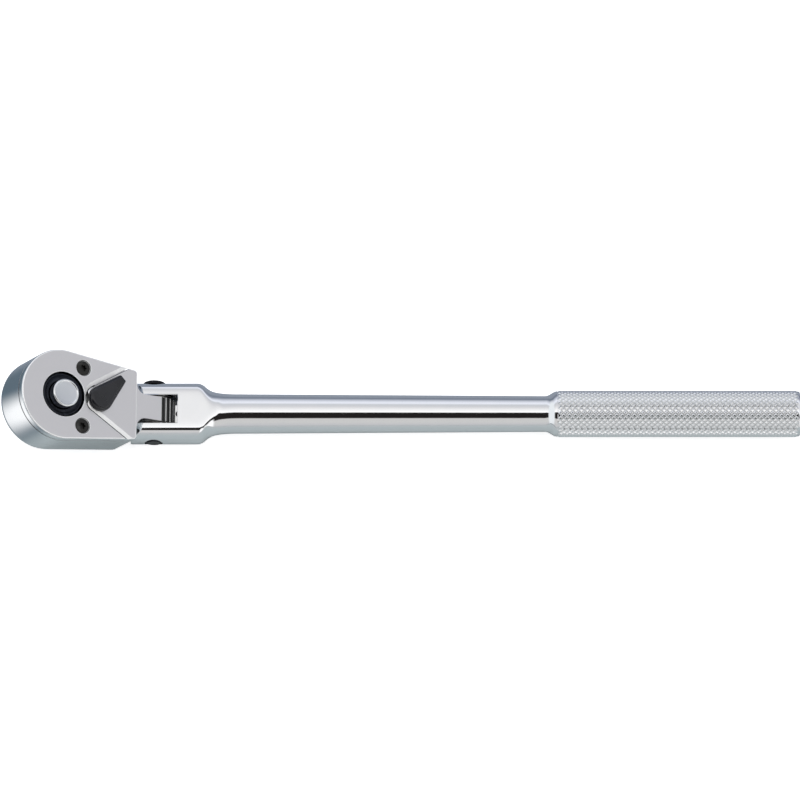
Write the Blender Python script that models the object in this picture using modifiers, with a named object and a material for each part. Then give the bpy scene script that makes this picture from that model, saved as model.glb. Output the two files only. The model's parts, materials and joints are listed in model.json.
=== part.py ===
"""Flex-head pear ratchet wrench, 3/8 inch square drive, as separate working pieces.

The handle runs along +X and the flex screw along Y. The head has its own frame with its origin
on the flex screw: its tip points along -X, its face along +Z, and it is tipped up by HEAD_FLEX.
All sizes are in metres.
"""
import math

import bmesh
import bpy
from mathutils import Matrix, Vector

# ---- clearances ----
GAP = 0.0003                 # between pieces that touch or run on each other
RUNNING_GAP = 0.0009         # round parts that sweep past each other
TOOTH_GAP = 0.00015          # between the gear's and the pawl's flanks
PLAY = 0.0002                # each side of a flex washer

# ---- softened edges ----
RIM = 0.0006                 # rounded outer rims
BREAK = 0.0002               # broken sharp edges
THREAD_CHAMFER = 0.0004      # screw ends

# ---- head ----
HEAD_FLEX = math.radians(30)
BACK_LEVEL = -0.0118         # underside of the head, below the flex screw
HEAD_WALL = 0.0063           # gear's tips to the outside of the round end
TIP_AHEAD = 0.0001           # round end's centre past the drive axis
DRIVE_FROM_SHOULDER = 0.0272
SHOULDER_FROM_EARS = 0.00225
FACE_ABOVE_KNUCKLE = 0.0001
SHOULDER_SPREAD = 0.0108     # corner circle's centre, off the middle line
SHOULDER_CORNER = 0.0012
BACK_ROUNDING = 0.0040

# ---- cover plate and V ----
PLATE_THICKNESS = 0.0027
DECK_APEX_RADIUS = 0.0047
DECK_ARM_ANGLE = math.radians(31.5)
SCREW_WALL = 0.00328         # gear's tips to a screw's axis
SCREW_ANGLE = math.radians(54.35)    # round the drive axis from the flex joint's side
SCREW_SUNK = 0.0002          # screw's head below the plate's face
SCREW_HEAD_RADIUS = 0.0024
SCREW_SHANK_RADIUS = 0.00125
SCREW_LENGTH = 0.0098
SCREW_HEX_RADIUS = 0.0012
SCREW_HEX_DEPTH = 0.0011

# ---- drive ----
TOOTH_COUNT = 72
GEAR_TIP_RADIUS = 0.0089
TOOTH_DEPTH = 0.00045
RING_STEP = 0.0016           # upper journal inside the teeth's tips
RING_DROP = 0.0006           # ring's rim below the cover's face
LOWER_STEP = 0.0019          # lower journal inside the teeth's tips
RING_DISH = 0.0009
JOURNAL_PROUD = 0.0008       # lower journal past the head's underside
SQUARE = 0.009525            # 3/8 inch drive
SQUARE_LENGTH = 0.0107
SQUARE_CHAMFER = 0.0007
WASHER_THICKNESS = 0.0004
SEAL_SECTION = 0.0003
FLOOR_THICKNESS = 0.0037     # head's wall under the gear

# ---- quick release ----
RING_WALL = 0.0026           # button to the ring's outside
BUTTON_PROUD = 0.0021
BUTTON_HEIGHT = 0.0051
BUTTON_TRAVEL = 0.0022
BUTTON_EDGE = 0.0005
PIN_HEAD_ROOM = 0.0022       # pin's length inside the button
PIN_NECK_LENGTH = 0.0010
PIN_RADIUS = 0.0015
PIN_NECK_RADIUS = 0.0008
PIN_BORE_RADIUS = 0.0019
BALL_RADIUS = 0.0017
BALL_PROUD = 0.00045
BALL_TRAVEL = 0.0006
BALL_FROM_END = 0.0053
RELEASE_SPRING_RADIUS = 0.00235
RELEASE_SPRING_WIRE = 0.0003
SPRING_SEAT_DEPTH = 0.0086   # from the released button down to its spring's seat

# ---- reversing lever and pawl ----
LEVER_ANGLE = math.radians(45)
LEVER_HUB_RADIUS = 0.0043
LEVER_ARM = 0.0120
LEVER_TIP_HALF = 0.0016
LEVER_THICKNESS = 0.0023
LEVER_SHAFT_RADIUS = 0.0024
LEVER_FOOT_STEP = 0.0006     # foot inside the shaft
LEVER_FOOT_DEPTH = 0.0020
LEVER_SEAL_SECTION = 0.0003
CLIP_THICKNESS = 0.0005
CLIP_GROOVE_DEPTH = 0.0006
PAWL_ROCK = math.radians(3.05)
PAWL_SPAN = math.radians(36)
PAWL_SHOULDER = 0.0019       # pawl's ends past the teeth's tips
PAWL_WALL = 0.0016           # pawl round its bore
PAWL_DEPTH = 0.0042          # gear's tips to the lever's axis
DETENT_BALL_RADIUS = 0.0010
DETENT_WIRE = 0.00014
CLIP_PROUD = 0.0009
CLIP_MOUTH = 0.0012

# ---- flex joint ----
KNUCKLE_RADIUS = 0.0071
TANG_WIDTH = 0.0082
NOTCH_PITCH = math.radians(15)
NOTCH_COUNT = 13
NOTCH_RADIUS = 0.0016
TANG_FILLET = 0.0032
FLEX_WASHER_THICKNESS = 0.00035
FLEX_WASHER_RADIUS = 0.0060
FLEX_PIN_RADIUS = 0.0027
FLEX_HEAD_STEP = 0.00095     # screw's head past its shank
FLEX_HEAD_HEIGHT = 0.0015
FLEX_HEX_RADIUS = 0.0019
FLEX_HEX_DEPTH = 0.0009

# ---- handle ----
OVERALL_GRIP_END = 0.2163    # flex screw to the butt
GRIP_LENGTH = 0.0803
GRIP_RADIUS = 0.0078
GRIP_EDGE = 0.0010
FLARE_LENGTH = 0.0050
SHAFT_RADIUS_FRONT = 0.0066
SHAFT_RADIUS_BACK = 0.0060
CLEVIS_INSET = 0.00005       # clevis flats inside the knuckle
CLEVIS_CROWN = 0.00315       # round sides past the flats
CLEVIS_SOLID = 0.0067        # slot's bottom to the end of the round sides
CLEVIS_BLEND = 0.0140
EAR_MARGIN = 0.00065         # ears' round ends past the knuckle
SEAT_DEPTH = 0.0007          # spotface under the flex screw's head
FLEX_BALL_RADIUS = 0.0012
FLEX_WIRE = 0.00018
FLEX_SPRING_ROOM = 0.0072

# ---- sizes that follow ----
EAR_RADIUS = KNUCKLE_RADIUS + EAR_MARGIN
SHOULDER_REACH = EAR_RADIUS + SHOULDER_FROM_EARS
GEAR_REACH = SHOULDER_REACH + DRIVE_FROM_SHOULDER
TIP_REACH = GEAR_REACH + TIP_AHEAD
TIP_RADIUS = GEAR_TIP_RADIUS + HEAD_WALL
FACE_LEVEL = KNUCKLE_RADIUS + FACE_ABOVE_KNUCKLE
LEVER_REACH = GEAR_REACH - GEAR_TIP_RADIUS - PAWL_DEPTH
SCREW_REACH = GEAR_REACH - (GEAR_TIP_RADIUS + SCREW_WALL) * math.cos(SCREW_ANGLE)
SCREW_SPREAD = (GEAR_TIP_RADIUS + SCREW_WALL) * math.sin(SCREW_ANGLE)
SCREW_TOP = FACE_LEVEL - SCREW_SUNK
RING_RADIUS = GEAR_TIP_RADIUS - RING_STEP
LOWER_JOURNAL_RADIUS = GEAR_TIP_RADIUS - LOWER_STEP
BUTTON_RADIUS = RING_RADIUS - RING_WALL
PLATE_BOTTOM = FACE_LEVEL - PLATE_THICKNESS
RECESS_FLOOR = PLATE_BOTTOM - GAP
CHAMBER_FLOOR = BACK_LEVEL + FLOOR_THICKNESS
GEAR_BOTTOM = CHAMBER_FLOOR + GAP
GEAR_TOP = PLATE_BOTTOM - WASHER_THICKNESS - 2 * GAP
CHAMBER_RADIUS = GEAR_TIP_RADIUS + GAP
RING_TOP = FACE_LEVEL - RING_DROP
JOURNAL_BOTTOM = BACK_LEVEL - JOURNAL_PROUD
SQUARE_END = JOURNAL_BOTTOM - SQUARE_LENGTH
BUTTON_TOP = FACE_LEVEL + BUTTON_PROUD
BUTTON_BOTTOM = BUTTON_TOP - BUTTON_HEIGHT
BUTTON_POCKET_FLOOR = BUTTON_BOTTOM - BUTTON_TRAVEL - GAP
SPRING_SEAT = BUTTON_BOTTOM - SPRING_SEAT_DEPTH
BALL_LEVEL = SQUARE_END + BALL_FROM_END
BALL_OFFSET = SQUARE / 2 + BALL_PROUD - BALL_RADIUS
PIN_BOTTOM = BALL_LEVEL - PIN_RADIUS
PIN_BORE_FLOOR = PIN_BOTTOM - BUTTON_TRAVEL - GAP
RAMP_SLOPE = BALL_TRAVEL / BUTTON_TRAVEL
GEAR_TO_PAWL = GEAR_REACH - LEVER_REACH
DECK_LEVEL = FACE_LEVEL + GAP
POCKET_ROOF = RECESS_FLOOR + GAP
POCKET_FLOOR = CHAMBER_FLOOR + GAP
PAWL_BOTTOM = POCKET_FLOOR + GAP
PAWL_BORE_RADIUS = LEVER_SHAFT_RADIUS + GAP
PAWL_HUB_RADIUS = PAWL_BORE_RADIUS + PAWL_WALL
SHAFT_BORE_RADIUS = LEVER_SHAFT_RADIUS + GAP
LEVER_FOOT_RADIUS = LEVER_SHAFT_RADIUS - LEVER_FOOT_STEP
CLIP_GROOVE_RADIUS = LEVER_SHAFT_RADIUS - CLIP_GROOVE_DEPTH
DETENT_BALL_OFFSET = PAWL_BORE_RADIUS - DETENT_BALL_RADIUS + GAP
SEAL_RADIUS = LOWER_JOURNAL_RADIUS - SEAL_SECTION
LEVER_SEAL_RADIUS = LEVER_SHAFT_RADIUS - LEVER_SEAL_SECTION
LEVER_SEAL_LEVEL = FACE_LEVEL - PLATE_THICKNESS / 2
CLIP_LEVEL = POCKET_ROOF - GAP - CLIP_THICKNESS
PAWL_TOP = CLIP_LEVEL - GAP
PAWL_OUTER_RADIUS = GEAR_TIP_RADIUS + PAWL_SHOULDER
DETENT_LEVEL = (PAWL_BOTTOM + PAWL_TOP) / 2
LEVER_FOOT_BOTTOM = CHAMBER_FLOOR - LEVER_FOOT_DEPTH
SLOT_HALF = TANG_WIDTH / 2 + FLEX_WASHER_THICKNESS + 2 * PLAY
SLOT_BOTTOM = KNUCKLE_RADIUS + RUNNING_GAP
NOTCH_HALF_CHORD = KNUCKLE_RADIUS * math.sin(NOTCH_PITCH / 2)
NOTCH_CENTRE = (KNUCKLE_RADIUS * math.cos(NOTCH_PITCH / 2)
                + math.sqrt(NOTCH_RADIUS ** 2 - NOTCH_HALF_CHORD ** 2))
FLEX_PIN_BORE = FLEX_PIN_RADIUS + GAP
FLEX_HEAD_RADIUS = FLEX_PIN_RADIUS + FLEX_HEAD_STEP
CLEVIS_FLAT = KNUCKLE_RADIUS - CLEVIS_INSET
CLEVIS_RADIUS = CLEVIS_FLAT + CLEVIS_CROWN
CLEVIS_LENGTH = SLOT_BOTTOM + CLEVIS_SOLID
FLEX_SEAT = CLEVIS_RADIUS - SEAT_DEPTH
GRIP_START = OVERALL_GRIP_END - GRIP_LENGTH
FLARE_START = GRIP_START - FLARE_LENGTH
TURN = 2 * math.pi

MATERIALS = {
    "satin_chrome": ((0.62, 0.60, 0.60), 0.38, 1.0),
    "bright_chrome": ((0.80, 0.81, 0.83), 0.12, 1.0),
    "black_oxide": ((0.03, 0.03, 0.035), 0.35, 0.9),
    "black_lever": ((0.015, 0.015, 0.017), 0.22, 0.2),
    "tool_steel": ((0.35, 0.34, 0.33), 0.35, 1.0),
    "spring_steel": ((0.45, 0.45, 0.47), 0.3, 1.0),
    "ball_steel": ((0.75, 0.75, 0.77), 0.08, 1.0),
    "seal_rubber": ((0.02, 0.02, 0.02), 0.7, 0.0),
}


# ---- scene set-up ----
def clear_scene():
    for item in list(bpy.data.objects):
        bpy.data.objects.remove(item, do_unlink=True)


def new_collection(name):
    group = bpy.data.collections.new(name)
    bpy.context.scene.collection.children.link(group)
    return group


def make_material(name):
    colour, roughness, metallic = MATERIALS[name]
    material = bpy.data.materials.new(name)
    material.use_nodes = True
    shader = material.node_tree.nodes["Principled BSDF"]
    shader.inputs["Base Color"].default_value = (*colour, 1.0)
    shader.inputs["Roughness"].default_value = roughness
    shader.inputs["Metallic"].default_value = metallic
    material.diffuse_color = (*colour, 1.0)
    return material


def new_empty(name, parent=None, location=(0, 0, 0), rotation=(0, 0, 0)):
    empty = bpy.data.objects.new(name, None)
    empty.empty_display_size = 0.01
    PARTS.objects.link(empty)
    empty.parent = parent
    empty.location = location
    empty.rotation_euler = rotation
    return empty


def place(item, material, parent, location=(0, 0, 0), rotation=(0, 0, 0)):
    """Make a shape a finished piece of the wrench."""
    PARTS.objects.link(item)
    item.data.materials.append(FINISHES[material])
    item.parent = parent
    item.location = location
    item.rotation_euler = rotation
    return item


def as_cutter(item, parent=None, location=(0, 0, 0), rotation=(0, 0, 0)):
    """Make a shape a hidden helper for a Boolean."""
    CUTTERS.objects.link(item)
    item.hide_render = True
    item.display_type = "WIRE"
    item.parent = parent
    item.location = location
    item.rotation_euler = rotation
    return item


def boolean(item, helper, operation="DIFFERENCE"):
    modifier = item.modifiers.new(operation.lower(), "BOOLEAN")
    modifier.operation = operation
    modifier.solver = "EXACT"
    modifier.object = helper


# ---- shapes ----
def object_from(name, shape):
    mesh = bpy.data.meshes.new(name)
    bmesh.ops.recalc_face_normals(shape, faces=shape.faces)
    shape.to_mesh(mesh)
    shape.free()
    return bpy.data.objects.new(name, mesh)


def prism(name, outline, low, high, along="Z"):
    """A flat outline pushed from low to high along Z, or along Y for an outline in X and Z."""
    shape = bmesh.new()
    if along == "Z":
        base = [shape.verts.new((u, v, low)) for u, v in outline]
        push = Vector((0, 0, high - low))
    else:
        base = [shape.verts.new((u, low, v)) for u, v in outline]
        push = Vector((0, high - low, 0))
    face = shape.faces.new(base)
    grown = bmesh.ops.extrude_face_region(shape, geom=[face])
    moved = [item for item in grown["geom"] if isinstance(item, bmesh.types.BMVert)]
    bmesh.ops.translate(shape, verts=moved, vec=push)
    return object_from(name, shape)


def loft(name, rings):
    """A closed body through rings of points that match one to one."""
    shape = bmesh.new()
    loops = [[shape.verts.new(point) for point in ring] for ring in rings]
    for lower, upper in zip(loops, loops[1:]):
        for i in range(len(lower)):
            j = (i + 1) % len(lower)
            shape.faces.new((lower[i], lower[j], upper[j], upper[i]))
    shape.faces.new(list(reversed(loops[0])))
    shape.faces.new(loops[-1])
    return object_from(name, shape)


def turned(name, profile, steps=28, ring=False):
    """A lathe shape about Z. The profile is (radius, height), down the outer side."""
    shape = bmesh.new()
    points = [shape.verts.new((radius, 0, height)) for radius, height in profile]
    for first, second in zip(points, points[1:]):
        shape.edges.new((first, second))
    if ring:
        shape.edges.new((points[-1], points[0]))
    mesh = bpy.data.meshes.new(name)
    shape.to_mesh(mesh)
    shape.free()
    item = bpy.data.objects.new(name, mesh)
    screw = item.modifiers.new("turn", "SCREW")
    screw.axis = "Z"
    screw.angle = TURN
    screw.steps = steps
    screw.render_steps = steps
    screw.use_merge_vertices = True
    screw.merge_threshold = 0.00001
    screw.use_smooth_shade = True
    return item


def rod(name, radius, low, high, steps=28):
    return turned(name, [(0, high), (radius, high), (radius, low), (0, low)], steps)


def ball(name, radius, segments=16):
    shape = bmesh.new()
    bmesh.ops.create_uvsphere(shape, u_segments=segments, v_segments=segments // 2, radius=radius)
    item = object_from(name, shape)
    item.data.shade_smooth()
    return item


def o_ring(name, radius, section, around=28, across=6):
    profile = [(radius + section * math.cos(TURN * i / across),
                -section * math.sin(TURN * i / across)) for i in range(across)]
    return turned(name, profile, around, ring=True)


def washer(name, inner, outer, low, high, steps=28):
    profile = [(outer, high), (outer, low), (inner, low), (inner, high)]
    return turned(name, profile, steps, ring=True)


def coil(name, radius, wire, low, high, turns, per_turn=8):
    """A compression spring about Z: a helix with its wire's centre line between the ends."""
    bottom = low + wire
    height = high - low - 2 * wire
    count = turns * per_turn + 1
    curve = bpy.data.curves.new(name, "CURVE")
    curve.dimensions = "3D"
    curve.bevel_depth = wire
    curve.bevel_resolution = 2
    curve.use_fill_caps = True
    spline = curve.splines.new("POLY")
    spline.points.add(count - 1)
    for i in range(count):
        angle = TURN * i / per_turn
        rise = bottom + height * i / (count - 1)
        spline.points[i].co = (radius * math.cos(angle), radius * math.sin(angle), rise, 1)
    return bpy.data.objects.new(name, curve)


def block(name, size, location):
    shape = bmesh.new()
    bmesh.ops.create_cube(shape, size=1.0)
    bmesh.ops.scale(shape, vec=size, verts=shape.verts)
    bmesh.ops.translate(shape, vec=location, verts=shape.verts)
    return object_from(name, shape)


def arc(centre, radius, start, end, steps):
    """Points on an arc from one angle to another, both ends included."""
    return [(centre[0] + radius * math.cos(start + (end - start) * i / steps),
             centre[1] + radius * math.sin(start + (end - start) * i / steps))
            for i in range(steps + 1)]


def hexagon(radius):
    return arc((0, 0), radius, 0, TURN * 5 / 6, 5)


def tapered_outline(radius, reach, spread, corner, steps, inset=0.0):
    """A round end about the origin that tapers along +X to two rounded corners."""
    sharpest = corner / 8
    shortfall = max(inset - (corner - sharpest), 0)
    small = corner - inset + shortfall
    big = radius - inset
    centre = (reach - shortfall, spread - shortfall)
    lean = math.atan2(centre[1], centre[0])
    touch = lean + math.acos((big - small) / math.hypot(*centre))
    round_end = arc((0, 0), big, touch, TURN - touch, steps)
    lower = arc((centre[0], -centre[1]), small, -touch, 0, 5)
    upper = arc(centre, small, 0, touch, 5)
    return round_end + lower + upper


def deck_edge(margin, length=0.030, steps=10):
    """The V between plate and deck, from its +Y arm round the apex to its -Y arm."""
    tangent = math.pi / 2 + DECK_ARM_ANGLE
    radius = DECK_APEX_RADIUS + margin
    apex = arc((-LEVER_REACH, 0), radius, tangent, TURN - tangent, steps)
    along = (length * math.cos(DECK_ARM_ANGLE), length * math.sin(DECK_ARM_ANGLE))
    upper = (apex[0][0] + along[0], apex[0][1] + along[1])
    lower = (apex[-1][0] + along[0], apex[-1][1] - along[1])
    return [upper] + apex + [lower]


def pear_ring(inset, level):
    outline = tapered_outline(TIP_RADIUS, TIP_REACH - SHOULDER_REACH - SHOULDER_CORNER,
                              SHOULDER_SPREAD, SHOULDER_CORNER, 30, inset)
    return [(u - TIP_REACH, v, level) for u, v in outline]


def gear_outline(growth=0.0):
    """Pointed ratchet teeth with one tooth on the +X side."""
    points = []
    for i in range(TOOTH_COUNT):
        pitch = TURN / TOOTH_COUNT
        for share, radius in ((-0.12, GEAR_TIP_RADIUS), (0.12, GEAR_TIP_RADIUS),
                              (0.5, GEAR_TIP_RADIUS - TOOTH_DEPTH)):
            angle = (i + share) * pitch
            points.append(((radius + growth) * math.cos(angle),
                           (radius + growth) * math.sin(angle)))
    return points


def knuckle_outline(neck_end):
    """Side view of the tang: a notched round knuckle about the origin and its neck."""
    points = []
    steps = 3
    first = math.pi / 2
    for notch in range(NOTCH_COUNT):
        middle = first - NOTCH_PITCH * notch
        for i in range(steps):
            off = NOTCH_PITCH * (0.5 - i / steps)
            depth = math.sqrt(NOTCH_RADIUS ** 2 - (NOTCH_CENTRE * math.sin(off)) ** 2)
            radius = NOTCH_CENTRE * math.cos(off) - depth
            angle = middle + off
            points.append((radius * math.cos(angle), radius * math.sin(angle)))
    last = first - NOTCH_PITCH * (NOTCH_COUNT - 0.5)
    points.append((KNUCKLE_RADIUS * math.cos(last), KNUCKLE_RADIUS * math.sin(last)))
    return points + [(neck_end, -KNUCKLE_RADIUS), (neck_end, KNUCKLE_RADIUS)]


# ---- head ----
def build_head_body():
    under = BACK_LEVEL
    rounding = BACK_ROUNDING
    profile = [(rounding, under), (rounding * 0.45, under + rounding * 0.14),
               (rounding * 0.12, under + rounding * 0.5), (0, under + rounding),
               (0, FACE_LEVEL - RIM), (RIM, FACE_LEVEL)]
    body = place(loft("head_body", [pear_ring(*row) for row in profile]), "satin_chrome", HEAD)
    half = TANG_WIDTH / 2
    tang = prism("tang", knuckle_outline(-SHOULDER_REACH - TANG_FILLET), -half, half, "Y")
    boolean(body, as_cutter(tang, HEAD), "UNION")
    start = -SHOULDER_REACH + TANG_FILLET
    flare = arc((start, half + TANG_FILLET), TANG_FILLET, -math.pi / 2, -math.pi, 6)
    inner = -SHOULDER_REACH - TANG_FILLET / 2
    top = half + TANG_FILLET
    outline = flare + [(inner, top), (inner, -top)] + [(u, -v) for u, v in reversed(flare)]
    level = KNUCKLE_RADIUS - BREAK / 2
    boolean(body, as_cutter(prism("tang_flare", outline, -level, level), HEAD), "UNION")
    cut_head_body(body)
    return body


def cut_head_body(body):
    edge = deck_edge(0.0)
    far = -TIP_REACH - 2 * TIP_RADIUS
    wide = 2 * TIP_RADIUS
    near = edge[0][0]
    recess = edge + [(near, -wide), (far, -wide), (far, wide), (near, wide)]
    boolean(body, as_cutter(prism("plate_recess", recess, RECESS_FLOOR, 2 * FACE_LEVEL), HEAD))
    at_gear = (-GEAR_REACH, 0, 0)
    at_lever = (-LEVER_REACH, 0, 0)
    chamber = rod("gear_chamber", CHAMBER_RADIUS, CHAMBER_FLOOR, FACE_LEVEL, 40)
    boolean(body, as_cutter(chamber, HEAD, at_gear))
    journal = rod("journal_bore", LOWER_JOURNAL_RADIUS + GAP, 2 * BACK_LEVEL, 0, 36)
    boolean(body, as_cutter(journal, HEAD, at_gear))
    pocket = prism("pawl_pocket", pawl_outline(2.5 * GAP), POCKET_FLOOR, POCKET_ROOF)
    boolean(body, as_cutter(pocket, HEAD, at_lever))
    foot = LEVER_FOOT_RADIUS + GAP
    shaft = SHAFT_BORE_RADIUS
    bore = [(0, 2 * FACE_LEVEL), (shaft, 2 * FACE_LEVEL), (shaft, 0), (foot, 0),
            (foot, LEVER_FOOT_BOTTOM - GAP), (0, LEVER_FOOT_BOTTOM - GAP)]
    boolean(body, as_cutter(turned("lever_bore", bore, 24), HEAD, at_lever))
    for side in (1, -1):
        hole = rod("tapped_hole", SCREW_SHANK_RADIUS + GAP,
                   FACE_LEVEL - SCREW_LENGTH - 2 * GAP, FACE_LEVEL, 20)
        boolean(body, as_cutter(hole, HEAD, (-SCREW_REACH, side * SCREW_SPREAD, 0)))
    pin = rod("tang_bore", FLEX_PIN_BORE, -TANG_WIDTH, TANG_WIDTH, 32)
    boolean(body, as_cutter(pin, HEAD, rotation=(math.pi / 2, 0, 0)))


def build_cover_plate():
    profile = [(BREAK, PLATE_BOTTOM), (0, PLATE_BOTTOM + BREAK), (0, FACE_LEVEL - RIM),
               (0.3 * RIM, FACE_LEVEL - 0.3 * RIM), (RIM, FACE_LEVEL)]
    plate = loft("cover_plate", [pear_ring(*row) for row in profile])
    place(plate, "satin_chrome", HEAD)
    notch = prism("plate_notch", deck_edge(GAP), 0, 2 * FACE_LEVEL)
    boolean(plate, as_cutter(notch, HEAD))
    bore = RING_RADIUS + GAP
    chamfer = 2 * BREAK
    profile = [(0, 2 * FACE_LEVEL), (bore + chamfer + FACE_LEVEL, 2 * FACE_LEVEL),
               (bore, FACE_LEVEL - chamfer), (bore, 0), (0, 0)]
    boolean(plate, as_cutter(turned("ring_bore", profile, 40), HEAD, (-GEAR_REACH, 0, 0)))
    head = SCREW_HEAD_RADIUS + GAP
    shank = SCREW_SHANK_RADIUS + GAP
    profile = [(0, 2 * FACE_LEVEL), (head, 2 * FACE_LEVEL), (head, SCREW_TOP),
               (shank, SCREW_TOP - (head - shank)), (shank, 0), (0, 0)]
    for side in (1, -1):
        sink = turned("countersink", profile, 20)
        boolean(plate, as_cutter(sink, HEAD, (-SCREW_REACH, side * SCREW_SPREAD, 0)))


def build_cover_screws():
    top = SCREW_TOP
    head = SCREW_HEAD_RADIUS
    shank = SCREW_SHANK_RADIUS
    end = FACE_LEVEL - SCREW_LENGTH
    profile = [(0, top), (head - BREAK, top), (head, top - BREAK),
               (shank, top - BREAK - (head - shank)), (shank, end + THREAD_CHAMFER),
               (shank - THREAD_CHAMFER, end), (0, end)]
    for side, name in ((1, "cover_screw_upper"), (-1, "cover_screw_lower")):
        place_at = (-SCREW_REACH, side * SCREW_SPREAD, 0)
        screw = place(turned(name, profile, 20), "black_oxide", HEAD, place_at)
        socket = prism(name + "_socket", hexagon(SCREW_HEX_RADIUS), top - SCREW_HEX_DEPTH,
                       2 * top)
        boolean(screw, as_cutter(socket, HEAD, place_at))


# ---- drive ----
def build_drive_gear():
    core = GEAR_TIP_RADIUS - TOOTH_DEPTH - RIM
    lower = LOWER_JOURNAL_RADIUS
    groove = BACK_LEVEL + FLOOR_THICKNESS / 2
    groove_half = SEAL_SECTION + GAP
    groove_floor = SEAL_RADIUS - SEAL_SECTION - GAP
    pocket = BUTTON_RADIUS + GAP
    dish = RING_TOP - RING_DISH
    profile = [(0, dish), (pocket, dish),
               (pocket + RIM, dish), (RING_RADIUS - 1.6 * RIM, RING_TOP),
               (RING_RADIUS - 0.5 * RIM, RING_TOP), (RING_RADIUS, RING_TOP - 0.5 * RIM),
               (RING_RADIUS, GEAR_TOP - BREAK), (core, GEAR_TOP - BREAK),
               (core, GEAR_BOTTOM + BREAK), (lower, GEAR_BOTTOM + BREAK),
               (lower, groove + groove_half), (groove_floor, groove + groove_half),
               (groove_floor, groove - groove_half), (lower, groove - groove_half),
               (lower, JOURNAL_BOTTOM + BREAK), (lower - BREAK, JOURNAL_BOTTOM),
               (0, JOURNAL_BOTTOM)]
    gear = place(turned("drive_gear", profile, 40), "black_oxide", DRIVE)
    teeth = prism("gear_teeth", gear_outline(), GEAR_BOTTOM, GEAR_TOP)
    boolean(gear, as_cutter(teeth, DRIVE), "UNION")
    buried = JOURNAL_PROUD / 2
    square = block("square", (SQUARE, SQUARE, SQUARE_LENGTH + buried),
                   (0, 0, (SQUARE_END + JOURNAL_BOTTOM + buried) / 2))
    bevel = square.modifiers.new("chamfer", "BEVEL")
    bevel.width = SQUARE_CHAMFER
    bevel.segments = 1
    boolean(gear, as_cutter(square, DRIVE), "UNION")
    spring_room = RELEASE_SPRING_RADIUS + RELEASE_SPRING_WIRE + GAP
    profile = [(0, 2 * FACE_LEVEL), (pocket, 2 * FACE_LEVEL), (pocket, BUTTON_POCKET_FLOOR),
               (spring_room, BUTTON_POCKET_FLOOR), (spring_room, SPRING_SEAT),
               (PIN_BORE_RADIUS, SPRING_SEAT), (PIN_BORE_RADIUS, PIN_BORE_FLOOR),
               (0, PIN_BORE_FLOOR)]
    boolean(gear, as_cutter(turned("release_bore", profile, 28), DRIVE))
    hole = rod("ball_hole", BALL_RADIUS + GAP, 0, SQUARE, 24)
    boolean(gear, as_cutter(hole, DRIVE, (0, 0, BALL_LEVEL), (0, -math.pi / 2, 0)))


def build_drive_fittings():
    low = GEAR_TOP + (RECESS_FLOOR + GAP - GEAR_TOP - WASHER_THICKNESS) / 2
    ring = washer("gear_washer", RING_RADIUS + GAP, CHAMBER_RADIUS - GAP, low,
                  low + WASHER_THICKNESS, 36)
    place(ring, "tool_steel", HEAD, (-GEAR_REACH, 0, 0))
    seal = o_ring("drive_seal", SEAL_RADIUS, SEAL_SECTION)
    place(seal, "seal_rubber", DRIVE, (0, 0, BACK_LEVEL + FLOOR_THICKNESS / 2))


def build_release():
    top = BUTTON_TOP
    radius = BUTTON_RADIUS
    edge = BUTTON_EDGE
    socket = PIN_RADIUS + GAP
    socket_roof = BUTTON_BOTTOM + PIN_HEAD_ROOM
    sunk = top - BREAK
    profile = [(0, sunk), (radius - 2.4 * edge, sunk), (radius - 1.6 * edge, top),
               (radius - edge, top), (radius - 0.3 * edge, top - 0.3 * edge),
               (radius, top - edge), (radius, BUTTON_BOTTOM), (socket, BUTTON_BOTTOM),
               (socket, socket_roof), (0, socket_roof)]
    place(turned("release_button", profile, 28), "bright_chrome", RELEASE)
    ramp_top = BALL_LEVEL + (PIN_RADIUS - PIN_NECK_RADIUS) / RAMP_SLOPE
    shoulder = ramp_top + PIN_NECK_LENGTH
    profile = [(0, socket_roof - GAP), (PIN_RADIUS, socket_roof - GAP), (PIN_RADIUS, shoulder),
               (PIN_NECK_RADIUS, shoulder - PIN_NECK_LENGTH / 2), (PIN_NECK_RADIUS, ramp_top),
               (PIN_RADIUS, BALL_LEVEL), (PIN_RADIUS, PIN_BOTTOM), (0, PIN_BOTTOM)]
    place(turned("release_pin", profile, 16), "tool_steel", RELEASE)
    spring = coil("release_spring", RELEASE_SPRING_RADIUS, RELEASE_SPRING_WIRE,
                  SPRING_SEAT + GAP, BUTTON_BOTTOM - GAP, 6)
    place(spring, "spring_steel", DRIVE)
    place(ball("drive_ball", BALL_RADIUS), "ball_steel", BALL)


# ---- reversing lever and pawl ----
def pawl_outline(growth=0.0):
    """Plan of the pawl about the lever's axis, before its teeth are cut."""
    span = PAWL_SPAN + growth / PAWL_OUTER_RADIUS * 1.3
    inner = GEAR_TIP_RADIUS - TOOTH_DEPTH - growth
    outer = PAWL_OUTER_RADIUS + growth
    hub = PAWL_HUB_RADIUS + growth
    front = arc((-GEAR_TO_PAWL, 0), inner, -span, span, 16)
    shoulder = arc((-GEAR_TO_PAWL, 0), outer, span, span - 0.10, 1)
    back = arc((0, 0), hub, math.radians(72), math.radians(-72), 12)
    return front + shoulder + back + [(u, -v) for u, v in reversed(shoulder)]


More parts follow.
